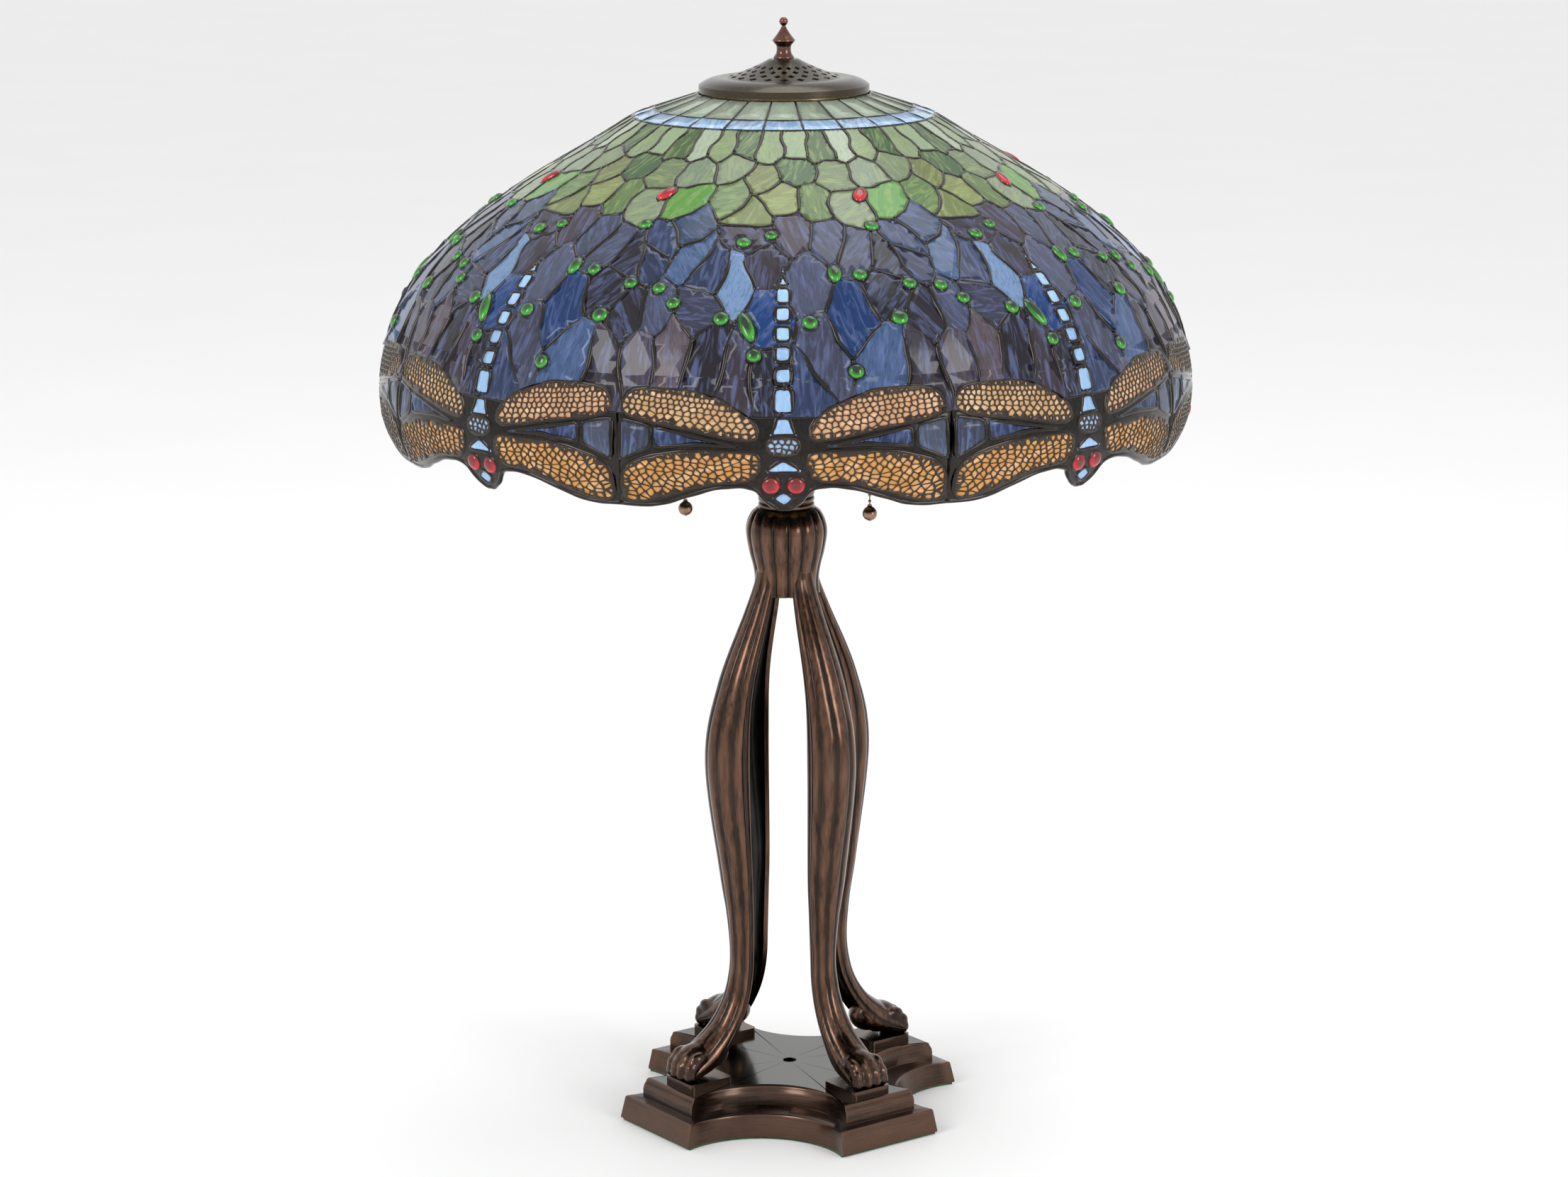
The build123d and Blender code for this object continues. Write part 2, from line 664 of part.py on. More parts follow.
def pane(course, start, stop, depth, thickness):
    """One pane of a course between two azimuths, short of its leads."""
    (r0, z0), (r1, z1), along, normal = course_frame(course)
    half = LEAD_W / 2
    low = (r0 + along[0] * half, z0 + along[1] * half)
    high = (r1 - along[0] * half, z1 - along[1] * half)
    trim = degrees(half / (0.5 * (r0 + r1)))
    outline = [(p[0] - normal[0] * d, p[1] - normal[1] * d)
               for d, ends in ((depth, (low, high)), (depth + thickness, (high, low))) for p in ends]
    with BuildPart() as piece:
        with BuildSketch(meridian(DRAGONFLY_AZ + start + trim)):
            with BuildLine():
                Polyline(*outline, close=True)
            make_face()
        revolve(axis=Axis.Z, revolution_arc=stop - start - 2 * trim)
    return piece.part


def window(outline):
    """Prism through the dome from an outline of (azimuth off the dragonfly, drawn height)."""
    points = []
    for off, height in outline:
        z = rim_z + height * SHADE_H / DRAWN_H
        points.append((dome_radius(z) * sin(radians(off)), z))
    with BuildPart() as prism:
        with BuildSketch(facing(DRAGONFLY_AZ, 0.3 * BELLY_R)):
            with BuildLine():
                Polyline(*points, close=True)
            make_face()
        extrude(amount=BELLY_R)
    return prism.part


def both_sides(outline):
    """An outline and its mirror image across the dragonfly's body."""
    return [outline, [(-off, height) for off, height in reversed(outline)]]


UPPER_WING = [(3.4, 45.5), (4.2, 64), (10.2, 77), (20.2, 76), (21.6, 66), (21.5, 59.5), (15.2, 55)]
LOWER_WING = [(3.4, 37), (6.9, 39), (16.8, 36.5), (21.6, 24), (21.6, 2.5), (16.5, 5.5), (9.6, 17.2), (5.2, 18.6)]
SLIVERS = [
    [(3.5, 39.5), (6.9, 41.2), (16.6, 39), (16.6, 53.5), (15.2, 52.5), (3.6, 43.5)],
    [(17.3, 38.5), (21.9, 26.5), (21.9, 57), (17.3, 54)],
]
SHOULDER = [(2.4, 66), (3.9, 66.3), (9.0, 77.6), (2.4, 77.6)]
THORAX = [(-1.5, 44.5), (1.5, 44.5), (1.9, 60), (1.2, 78.5), (-1.2, 78.5), (-1.9, 60)]
HEAD = [(0, 24), (2.4, 41.5), (-2.4, 41.5)]
NOSE = [(0, 2.5), (1.4, 9), (0, 15), (-1.4, 9)]
TAIL = [(1.1, 81.5), (0.9, 115.5), (0.8, 118.0), (0.6, 144.0)]
RIM_CURVE = [(20.5, -0.1), (16.5, 3.0), (9.0, 14.5), (5.0, 14.0), (2.4, 7.0), (0.8, -0.1)]
FIELD_EDGES = (1.6, 11.5, 22.5)

tail_tiles = [
    [(-low[0], low[1]), low, high, (-high[0], high[1])] for low, high in (TAIL[:2], TAIL[2:])
]
body_windows = [window(outline) for outline in [THORAX, HEAD, NOSE, *tail_tiles]]
wing_windows = [window(side) for wing in (UPPER_WING, LOWER_WING) for side in both_sides(wing)]
skirt_windows = [window(side) for shape in (*SLIVERS, SHOULDER) for side in both_sides(shape)]
rim_cuts = [window([*side, (side[-1][0], -5), (side[0][0], -5)]) for side in both_sides(RIM_CURVE)]


def equal_panes(course, count):
    """Azimuth spans that share one course of a sector equally."""
    edges = [sector * (k / count - 0.5) for k in range(count + 1)]
    return [(course, start, stop) for start, stop in zip(edges, edges[1:])]


panes = {"leaf_glass": equal_panes(LEAF_COURSE, 5), "band_glass": equal_panes(BAND_COURSE, 3),
         "crown_glass": equal_panes(CROWN_COURSE, 3), "field_glass": []}
for course in FIELD_COURSES:
    for start, stop in zip(FIELD_EDGES, FIELD_EDGES[1:]):
        panes["field_glass"] += [(course, start, stop), (course, -stop, -start)]

# Pressed jewels bedded on the glass: azimuth off the dragonfly, drawn height, half width,
# half length, tilt.
GREEN_JEWELS = [
    (-7.1, 161, 4.6, 4.6, 0), (-2.2, 165, 4.0, 4.0, 0), (17.3, 169, 4.6, 4.6, 0), (20.3, 137, 4.4, 4.4, 0),
    (-19.6, 135, 4.4, 4.4, 0), (-16.7, 127, 4.4, 4.4, 0), (-9.0, 119, 5.0, 5.0, 0),
    (17.2, 118, 5.4, 5.4, 0), (3.9, 117, 5.0, 5.0, 0), (12.5, 143, 4.6, 4.6, 0), (-4.0, 98, 4.6, 4.6, 0),
    (9.9, 88, 4.8, 4.8, 0), (8.4, 144, 5.4, 7.4, 10), (-5.2, 114.5, 4.2, 9.0, 25),
]
RED_JEWELS = [(17.7, 186, 5.0, 7.0, 0), (1.65, 17, EYE_R, EYE_R, 0), (-1.65, 17, EYE_R, EYE_R, 0)]
JEWEL_RISE = 3.2
JEWEL_BED = 0.12     # solder under a jewel, which the curve of the dome takes up


def jewel(off, height, half_w, half_l, tilt):
    """Domed jewel with a flat back, set square to the dome."""
    z = rim_z + height * SHADE_H / DRAWN_H
    course = max(i for i, (_, low) in enumerate(corners[:-1]) if low <= z)
    normal = course_frame(course)[3]
    a = radians(DRAGONFLY_AZ + off)
    direction = (normal[0] * sin(a), -normal[0] * cos(a), normal[1])
    spot = outward(DRAGONFLY_AZ + off, dome_radius(z), z)
    place = Plane(spot, x_dir=(cos(a), sin(a), 0), z_dir=direction).offset(JEWEL_BED)
    with BuildPart() as piece:
        with BuildSketch(place):
            Ellipse(half_w, half_l, rotation=tilt)
        extrude(amount=JEWEL_RISE)
        top = piece.faces().sort_by(Axis(place.origin, place.z_dir))[-1]
        tightest = min(half_w, half_l) ** 2 / max(half_w, half_l)
        fillet(top.edges(), min(0.8 * JEWEL_RISE, 0.7 * tightest))
    return piece.part


def round_the_dome(label, pieces):
    """Copy one sector's pieces round the dome as one node of separate solids."""
    with BuildPart() as group:
        with PolarLocations(0, DRAGONFLIES):
            add(pieces)
    finish(group, label)


FACE_DEPTH = 0.5 * (LEAD_T - GLASS_T)
glass_shell = dome_shell(FACE_DEPTH, GLASS_T)
overlay_shell = dome_shell(FACE_DEPTH - 0.4, 0.4)
openings = [pane(*spec, -2.0, LEAD_T + 4.0) for group in panes.values() for spec in group]
lattice = dome_shell(0, LEAD_T) - openings - body_windows - wing_windows - skirt_windows - rim_cuts

for label, specs in panes.items():
    round_the_dome(label, [pane(*spec, FACE_DEPTH, GLASS_T) for spec in specs])
round_the_dome("skirt_glass", [(glass_shell & prism) - rim_cuts for prism in skirt_windows])
round_the_dome("wing_glass", [(glass_shell & prism) - rim_cuts for prism in wing_windows])
round_the_dome("body_glass", [(glass_shell & prism) - rim_cuts for prism in body_windows])
round_the_dome("wing_filigree", [(overlay_shell & prism) - rim_cuts for prism in wing_windows])
round_the_dome("green_jewels", [jewel(*spec) for spec in GREEN_JEWELS])
round_the_dome("red_jewels", [jewel(*spec) for spec in RED_JEWELS])
round_the_dome("shade_leads", [lattice])

# ---------------------------------------------------------------- cap and finial
FLANGE_Z = cap_top_z - 17.3
with BuildPart() as vented_cap:
    with BuildSketch(Plane.XZ):
        groove_z = cap_top_z - 12.3
        with BuildLine():
            Line((STUD_R + GAP, cap_top_z), (CAP_TOP_R, cap_top_z))
            ThreePointArc((CAP_TOP_R, cap_top_z), (24.5, cap_top_z - 7.1), (CAP_GROOVE_R, groove_z))
            ThreePointArc((CAP_GROOVE_R, groove_z), (50.5, groove_z - 0.9), (CAP_R, FLANGE_Z))
            Line((CAP_R, FLANGE_Z), (CAP_R, cap_z))
            Line((CAP_R, cap_z), (CAP_R - CAP_T, cap_z))
            Line((CAP_R - CAP_T, cap_z), (CAP_R - CAP_T, FLANGE_Z - 0.5 * CAP_T))
            ThreePointArc((CAP_R - CAP_T, FLANGE_Z - 0.5 * CAP_T), (50, groove_z - 0.9 - CAP_T),
                          (CAP_GROOVE_R, groove_z - CAP_T))
            ThreePointArc((CAP_GROOVE_R, groove_z - CAP_T), (24.5, cap_top_z - 7.1 - CAP_T),
                          (CAP_TOP_R, cap_top_z - CAP_T))
            Line((CAP_TOP_R, cap_top_z - CAP_T), (STUD_R + GAP, cap_top_z - CAP_T))
            Line((STUD_R + GAP, cap_top_z - CAP_T), (STUD_R + GAP, cap_top_z))
        make_face()
    revolve(axis=Axis.Z)
    with BuildSketch(Plane.XY.offset(cap_z)):
        for row in range(4):
            vent_r = 19.5 + 5.4 * row
            half_w = 0.62 * vent_r * radians(180 / VENTS)
            with PolarLocations(vent_r, VENTS, start_angle=(row % 2) * 180 / VENTS):
                with BuildLine(mode=Mode.PRIVATE) as diamond:
                    Polyline((-2.3, 0), (0, half_w), (2.3, 0), (0, -half_w), close=True)
                add(make_face(diamond.edges(), mode=Mode.PRIVATE))
    extrude(amount=CAP_H, mode=Mode.SUBTRACT)
finish(vented_cap, "vented_cap")

with BuildPart() as finial:
    ball_z = finial_z + FINIAL_H - 3.0
    neck_z = ball_z - 3.6
    with BuildSketch(Plane.XZ):
        with BuildLine():
            Line((STUD_R + RUN, finial_z), (7.05, finial_z))
            Spline((7.05, finial_z), (5.4, finial_z + 7.2), (7.85, finial_z + 12), (5.0, finial_z + 16),
                   (1.6, neck_z))
            Line((1.6, neck_z), (0, neck_z))
            Line((0, neck_z), (0, finial_z + 11 + GAP))
            Line((0, finial_z + 11 + GAP), (STUD_R + RUN, finial_z + 11 + GAP))
            Line((STUD_R + RUN, finial_z + 11 + GAP), (STUD_R + RUN, finial_z))
        make_face()
    revolve(axis=Axis.Z)
    with Locations((0, 0, neck_z)):
        Cylinder(1.5, 3.0, align=(Align.CENTER, Align.CENTER, Align.MIN))
    with Locations((0, 0, ball_z)):
        Sphere(3.0)
finish(finial, "finial")
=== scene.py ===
"""Looks of a table lamp: a leaded-glass dragonfly shade on a four-legged bronze stand.

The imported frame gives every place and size. Lengths below are in millimetres unless a name
says otherwise, and azimuths are in degrees from -Y towards +X.
"""
import logging
import math
import random
from dataclasses import dataclass, field
from enum import Enum
from typing import Iterable, Sequence

import bpy
import numpy as np
from mathutils import Matrix, Vector
from mathutils.geometry import delaunay_2d_cdt


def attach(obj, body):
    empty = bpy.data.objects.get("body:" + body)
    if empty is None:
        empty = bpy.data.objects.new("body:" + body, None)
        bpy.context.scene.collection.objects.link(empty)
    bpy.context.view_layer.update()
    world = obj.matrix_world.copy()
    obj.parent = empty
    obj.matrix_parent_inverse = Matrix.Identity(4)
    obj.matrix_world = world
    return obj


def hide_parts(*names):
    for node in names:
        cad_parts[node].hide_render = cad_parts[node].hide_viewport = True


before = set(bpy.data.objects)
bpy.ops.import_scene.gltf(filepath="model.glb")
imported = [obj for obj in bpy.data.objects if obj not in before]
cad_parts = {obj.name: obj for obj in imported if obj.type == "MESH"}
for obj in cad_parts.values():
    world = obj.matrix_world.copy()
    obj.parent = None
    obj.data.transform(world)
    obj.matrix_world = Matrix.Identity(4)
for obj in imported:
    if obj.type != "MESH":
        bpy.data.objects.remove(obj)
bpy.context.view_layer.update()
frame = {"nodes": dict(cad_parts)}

LOG = logging.getLogger("lamp")
MM = 0.001

Point = tuple[float, float]
Colour = tuple[float, float, float]
Outline = list[Point]


# ------------------------------------------------------------------ shader graphs
class Val:
    """A node socket, or a plain number, that takes part in shader arithmetic."""

    def __init__(self, graph: "Graph", socket: object) -> None:
        """Wrap a socket that belongs to a graph.

        Args:
            graph: The graph that holds the socket.
            socket: An output socket or a number.
        """
        self.graph = graph
        self.socket = socket

    def _math(self, operation: str, first: object, second: object) -> "Val":
        """Add one Math node.

        Args:
            operation: The node's operation.
            first: First value.
            second: Second value.

        Returns:
            The node's result.
        """
        return self.graph.node("ShaderNodeMath", {"operation": operation}, {0: first, 1: second})

    def __add__(self, other: object) -> "Val":
        """Sum."""
        return self._math("ADD", self, other)

    def __radd__(self, other: object) -> "Val":
        """Sum with a number on the left."""
        return self._math("ADD", other, self)

    def __sub__(self, other: object) -> "Val":
        """Difference."""
        return self._math("SUBTRACT", self, other)

    def __rsub__(self, other: object) -> "Val":
        """Difference from a number on the left."""
        return self._math("SUBTRACT", other, self)

    def __mul__(self, other: object) -> "Val":
        """Product."""
        return self._math("MULTIPLY", self, other)

    def __rmul__(self, other: object) -> "Val":
        """Product with a number on the left."""
        return self._math("MULTIPLY", other, self)


class Graph:
    """Node tree of one material."""

    def __init__(self, name: str) -> None:
        """Start a material with an empty tree.

        Args:
            name: The material's name.
        """
        self.material = bpy.data.materials.new(name)
        self.material.use_nodes = True
        self.tree = self.material.node_tree
        self.tree.nodes.clear()

    def node(self, kind: str, settings: dict[str, object], inputs: dict[object, object],
             output: object = 0) -> Val:
        """Add a node, set it up and fill its sockets.

        Args:
            kind: The node's type.
            settings: Attributes, or the stops of a colour ramp under the key "stops".
            inputs: Values or links by socket name or index.
            output: The output socket that is wanted.

        Returns:
            The wanted output.
        """
        made = self.tree.nodes.new(kind)
        for key, value in settings.items():
            if key == "stops":
                ramp = made.color_ramp
                while len(ramp.elements) < len(value):
                    ramp.elements.new(0.5)
                for element, (place, shade) in zip(ramp.elements, value):
                    element.position = place
                    element.color = (*shade, 1.0)
            else:
                setattr(made, key, value)
        for key, value in inputs.items():
            if isinstance(value, Val):
                value = value.socket
            if isinstance(value, bpy.types.NodeSocket):
                self.tree.links.new(value, made.inputs[key])
            else:
                made.inputs[key].default_value = value
        return Val(self, made.outputs[output])

    def mix(self, factor: object, first: object, second: object, blend: str = "MIX") -> Val:
        """Mix two colours.

        Args:
            factor: How much of the second colour.
            first: First colour.
            second: Second colour.
            blend: Blending mode.

        Returns:
            The mixed colour.
        """
        def full(value: object) -> object:
            """The value, with an opaque alpha if it is a plain colour."""
            return (*value, 1.0) if isinstance(value, tuple) and len(value) == 3 else value
        settings = {"data_type": "RGBA", "blend_type": blend}
        return self.node("ShaderNodeMix", settings, {0: factor, 6: full(first), 7: full(second)}, 2)

    def noise(self, vector: Val, scale: float, detail: float = 3.0, distortion: float = 0.0) -> Val:
        """Noise value.

        Args:
            vector: Texture coordinates.
            scale: Noise scale.
            detail: Octaves.
            distortion: Distortion of the pattern.

        Returns:
            Noise between 0 and 1.
        """
        inputs = {"Vector": vector, "Scale": scale, "Detail": detail, "Distortion": distortion}
        return self.node("ShaderNodeTexNoise", {}, inputs)

    def stretched(self, scale: tuple[float, float, float], coordinates: str = "Object") -> Val:
        """Texture coordinates stretched along the axes.

        Args:
            scale: Scale on each axis.
            coordinates: Which coordinates to take.

        Returns:
            The stretched coordinates.
        """
        source = self.node("ShaderNodeTexCoord", {}, {}, coordinates)
        return self.node("ShaderNodeMapping", {}, {"Vector": source, "Scale": scale})

    def ramp(self, factor: Val, stops: Sequence[tuple[float, Colour]]) -> Val:
        """Colour ramp.

        Args:
            factor: Place on the ramp.
            stops: Places and colours.

        Returns:
            The colour.
        """
        return self.node("ShaderNodeValToRGB", {"stops": stops}, {0: factor})

    def bump(self, height: Val, strength: float, distance: float) -> Val:
        """Bump normal from a height.

        Args:
            height: Height value.
            strength: Strength of the bump.
            distance: Depth in metres.

        Returns:
            The normal.
        """
        return self.node("ShaderNodeBump", {},
                         {"Height": height, "Strength": strength, "Distance": distance})

    def surface(self, inputs: dict[object, object]) -> bpy.types.Material:
        """Finish the material with one principled shader.

        Args:
            inputs: The shader's socket values.

        Returns:
            The finished material.
        """
        shader = self.node("ShaderNodeBsdfPrincipled", {}, inputs, "BSDF")
        self.node_output(shader)
        return self.material

    def node_output(self, shader: Val) -> None:
        """Link a shader to the material's output."""
        made = self.tree.nodes.new("ShaderNodeOutputMaterial")
        self.tree.links.new(shader.socket, made.inputs["Surface"])


@dataclass(frozen=True)
class Bronze:
    """Cast or turned bronze with a rubbed patina."""

    name: str
    dark: Colour
    rubbed: Colour
    roughness: float = 0.32
    wear: float = 1.0
    brushed: tuple[float, float, float] = (60.0, 60.0, 60.0)
    coat: float = 0.3
    grain: float = 0.00012
    ridged: bool = False

    def material(self) -> bpy.types.Material:
        """Build the finish.

        Returns:
            The material.
        """
        g = Graph(self.name)
        edge = g.node("ShaderNodeNewGeometry", {}, {}, "Pointiness")
        worn = g.node("ShaderNodeMapRange", {},
                      {"Value": edge, "From Min": 0.497, "From Max": 0.535})
        cloud = g.noise(g.stretched((1, 1, 1)), 28.0, 4.0)
        lines = g.noise(g.stretched(self.brushed), 14.0, 3.0)
        tone = g.ramp(cloud * 0.5 + lines * 0.5, ((0.35, self.dark), (0.72, self.rubbed)))
        bright = g.mix(worn * (self.wear * 0.75), tone, self.rubbed)
        if self.ridged:
            ridge = g.node("ShaderNodeSeparateColor", {},
                           {0: g.node("ShaderNodeVertexColor", {"layer_name": "tint"}, {})}, 0)
            rub = g.node("ShaderNodeMapRange", {},
                         {"Value": ridge + (lines - 0.5) * 0.9, "From Min": 0.62, "From Max": 1.15})
            bright = g.mix(rub, g.mix(0.65, tone, self.dark), self.rubbed)
        rough = self.roughness - 0.10 + lines * 0.2
        return g.surface({
            "Base Color": bright, "Metallic": 1.0, "Roughness": rough,
            "Coat Weight": self.coat, "Coat Roughness": 0.15,
            "Normal": g.bump(lines * 0.6 + cloud * 0.4, 0.35, self.grain),
        })


@dataclass(frozen=True)
class Plain:
    """A plain stuff such as plastic, fibre, felt, steel or brass."""

    name: str
    light: Colour
    shade: Colour
    metallic: float = 0.0
    roughness: float = 0.5
    scale: float = 60.0
    depth: float = 0.0002

    def material(self) -> bpy.types.Material:
        """Build the finish.

        Returns:
            The material.
        """
        g = Graph(self.name)
        grain = g.noise(g.stretched((1, 1, 1)), self.scale, 5.0)
        fine = g.noise(g.stretched((1, 1, 1)), self.scale * 12, 2.0)
        return g.surface({
            "Base Color": g.ramp(grain, ((0.3, self.shade), (0.7, self.light))),
            "Metallic": self.metallic, "Roughness": self.roughness - 0.08 + grain * 0.16,
            "Normal": g.bump(fine, 0.3, self.depth),
        })


@dataclass(frozen=True)
class OpalGlass:
    """Streaky opalescent sheet glass with a painted glow; each pane brings its own tint and streak
    direction.
    """

    name: str
    streak: Colour
    shade: Colour
    streaks: float = 0.5
    # painted glow: emission in the glass's own colour, standing for light let through the panes
    painted_glow: float = 0.25
    roughness: float = 0.14
    length: float = 5.0

    def material(self) -> bpy.types.Material:
        """Build the finish.

        Returns:
            The material.
        """
        g = Graph(self.name)
        tint = g.node("ShaderNodeVertexColor", {"layer_name": "tint"}, {}, "Color")
        along = g.stretched((1.0, self.length, 1.0), "UV")
        swirl = g.noise(along, 1.1, 4.0, 1.4)
        wisps = g.noise(along, 2.6, 3.0, 2.2)
        light = g.node("ShaderNodeMapRange", {},
                       {"Value": swirl, "From Min": 0.47, "From Max": 0.68})
        dark = g.node("ShaderNodeMapRange", {},
                      {"Value": wisps, "From Min": 0.48, "From Max": 0.70})
        colour = g.mix(dark * 0.55, tint, g.mix(0.75, tint, self.shade))
        colour = g.mix(light * self.streaks, colour, self.streak)
        ripple = g.noise(g.stretched((1, 1, 1)), 55.0, 2.0)
        return g.surface({
            "Base Color": colour, "Roughness": self.roughness, "IOR": 1.52,
            "Specular IOR Level": 0.22, "Coat Weight": 0.06, "Coat Roughness": 0.05,
            # Painted glow: the panes emit their own colour, standing for light passing through the glass.
            "Emission Color": colour, "Emission Strength": self.painted_glow,
            "Normal": g.bump(ripple * 0.7 + swirl * 0.3, 0.25, 0.0006),
        })


@dataclass(frozen=True)
class Jewel:
    """Pressed clear glass, darker in its heart and lighter at its rim; the lighter rim, most on its lower
    side, is painted refracted light, and the glass has a painted glow.
    """

    name: str
    heart: Colour
    rim: Colour
    # painted glow: emission in the jewel's own colour, as if light came through it
    painted_glow: float = 0.35

    def material(self) -> bpy.types.Material:
        """Build the finish.

        Returns:
            The material.
        """
        g = Graph(self.name)
        # The tint attribute is a painted light level: low in the heart, high at the rim and on the lower
        # side, for light refracted through the jewel.
        depth = g.node("ShaderNodeVertexColor", {"layer_name": "tint"}, {}, "Color")
        level = g.node("ShaderNodeSeparateColor", {}, {0: depth}, 0)
        cloud = g.noise(g.stretched((1, 1, 1)), 90.0, 2.0)
        place = level * 0.75 + cloud * 0.3
        colour = g.ramp(place, ((0.15, self.heart), (0.55, self.rim), (0.95, self.heart)))
        return g.surface({
            "Base Color": colour, "Roughness": 0.05, "IOR": 1.5, "Coat Weight": 0.2,
            # Painted glow: the jewel emits its own colour.
            "Coat Roughness": 0.02, "Emission Color": colour, "Emission Strength": self.painted_glow,
            "Normal": g.bump(cloud, 0.1, 0.0004),
        })


class Finish(Enum):
    """Every finish of the lamp, by name."""

    LEG = Bronze("leg_bronze", (0.012, 0.009, 0.0075), (0.15, 0.072, 0.042), 0.24, 1.0, (34, 34, 3),
                 ridged=True)
    INSIDE = Bronze("leg_inside", (0.016, 0.016, 0.0155), (0.042, 0.042, 0.041), 0.42, 0.3,
                    (20, 20, 4))
    NECK = Bronze("neck_bronze", (0.014, 0.011, 0.009), (0.11, 0.062, 0.042), 0.24, 1.0,
                  (10, 10, 140))
    BASE = Bronze("base_bronze", (0.018, 0.0125, 0.010), (0.125, 0.066, 0.043), 0.28, 1.0,
                  (4, 4, 140))
    PLATE = Bronze("plate_bronze", (0.008, 0.0075, 0.005), (0.026, 0.023, 0.016), 0.16, 0.0,
                   (2, 2, 2), 0.6)
    CAP = Bronze("cap_bronze", (0.016, 0.0135, 0.009), (0.068, 0.053, 0.034), 0.28, 0.8,
                 (20, 20, 90))
    FINIAL = Bronze("finial_copper", (0.030, 0.014, 0.010), (0.22, 0.092, 0.060), 0.16, 0.8,
                    (20, 20, 120), 0.5)
    CHAIN = Bronze("chain_bronze", (0.08, 0.045, 0.028), (0.34, 0.19, 0.12), 0.22, 0.8,
                   (20, 20, 20), 0.5)
    LEAD = Bronze("lead_patina", (0.0035, 0.003, 0.003), (0.028, 0.022, 0.018), 0.24, 0.7,
                  (30, 30, 30), 0.4)
    FILIGREE = Bronze("filigree_bronze", (0.008, 0.006, 0.005), (0.055, 0.038, 0.027), 0.36, 0.9,
                      (40, 40, 40))
    BRASS = Bronze("aged_brass", (0.28, 0.18, 0.07), (0.62, 0.45, 0.20), 0.28, 0.6, (20, 20, 90))
    STEEL = Plain("zinc_steel", (0.62, 0.62, 0.64), (0.40, 0.40, 0.42), 1.0, 0.35)
    ALUMINIUM = Plain("thread_aluminium", (0.80, 0.80, 0.81), (0.6, 0.6, 0.62), 1.0, 0.3)
    IRON = Plain("cast_iron", (0.13, 0.13, 0.13), (0.06, 0.06, 0.06), 0.7, 0.6, 120)
    FELT = Plain("green_baize", (0.06, 0.13, 0.07), (0.02, 0.06, 0.03), 0.0, 0.95, 400, 0.0008)
    PLASTIC = Plain("bushing_plastic", (0.03, 0.03, 0.03), (0.015, 0.015, 0.015), 0.0, 0.45)
    FIBRE = Plain("liner_fibre", (0.55, 0.44, 0.30), (0.38, 0.28, 0.18), 0.0, 0.7)
    FROSTED = Plain("frosted_bulb", (0.93, 0.93, 0.91), (0.86, 0.86, 0.84), 0.0, 0.32, 20, 0.0001)
    # The last number of each glass is its painted glow (emission strength).
    CROWN = OpalGlass("crown_glass", (0.32, 0.38, 0.24), (0.12, 0.16, 0.09), 0.5, 0.08)
    BAND = OpalGlass("band_glass", (0.62, 0.72, 0.86), (0.20, 0.33, 0.58), 0.5, 0.12)
    LEAF = OpalGlass("leaf_glass", (0.24, 0.31, 0.11), (0.035, 0.085, 0.028), 0.5, 0.07)
    FIELD = OpalGlass("field_glass", (0.13, 0.17, 0.36), (0.008, 0.006, 0.018), 0.38, 0.03)
    SKIRT = OpalGlass("skirt_glass", (0.18, 0.27, 0.54), (0.008, 0.009, 0.030), 0.38, 0.04)
    WING = OpalGlass("wing_glass", (0.80, 0.56, 0.36), (0.36, 0.17, 0.05), 0.5, 0.22)
    BODY = OpalGlass("body_glass", (0.40, 0.57, 0.80), (0.17, 0.34, 0.62), 0.4, 0.18)
    GREEN = Jewel("green_jewel", (0.0015, 0.016, 0.002), (0.030, 0.30, 0.012), 0.10)
    RED = Jewel("red_jewel", (0.12, 0.001, 0.003), (0.52, 0.004, 0.014), 0.15)

    def made(self) -> bpy.types.Material:
        """The finish's material, made once.

        Returns:
            The material.
        """
        found = bpy.data.materials.get(self.value.name + "_look")
        if found is None:
            found = self.value.material()
            found.name = self.value.name + "_look"
        return found


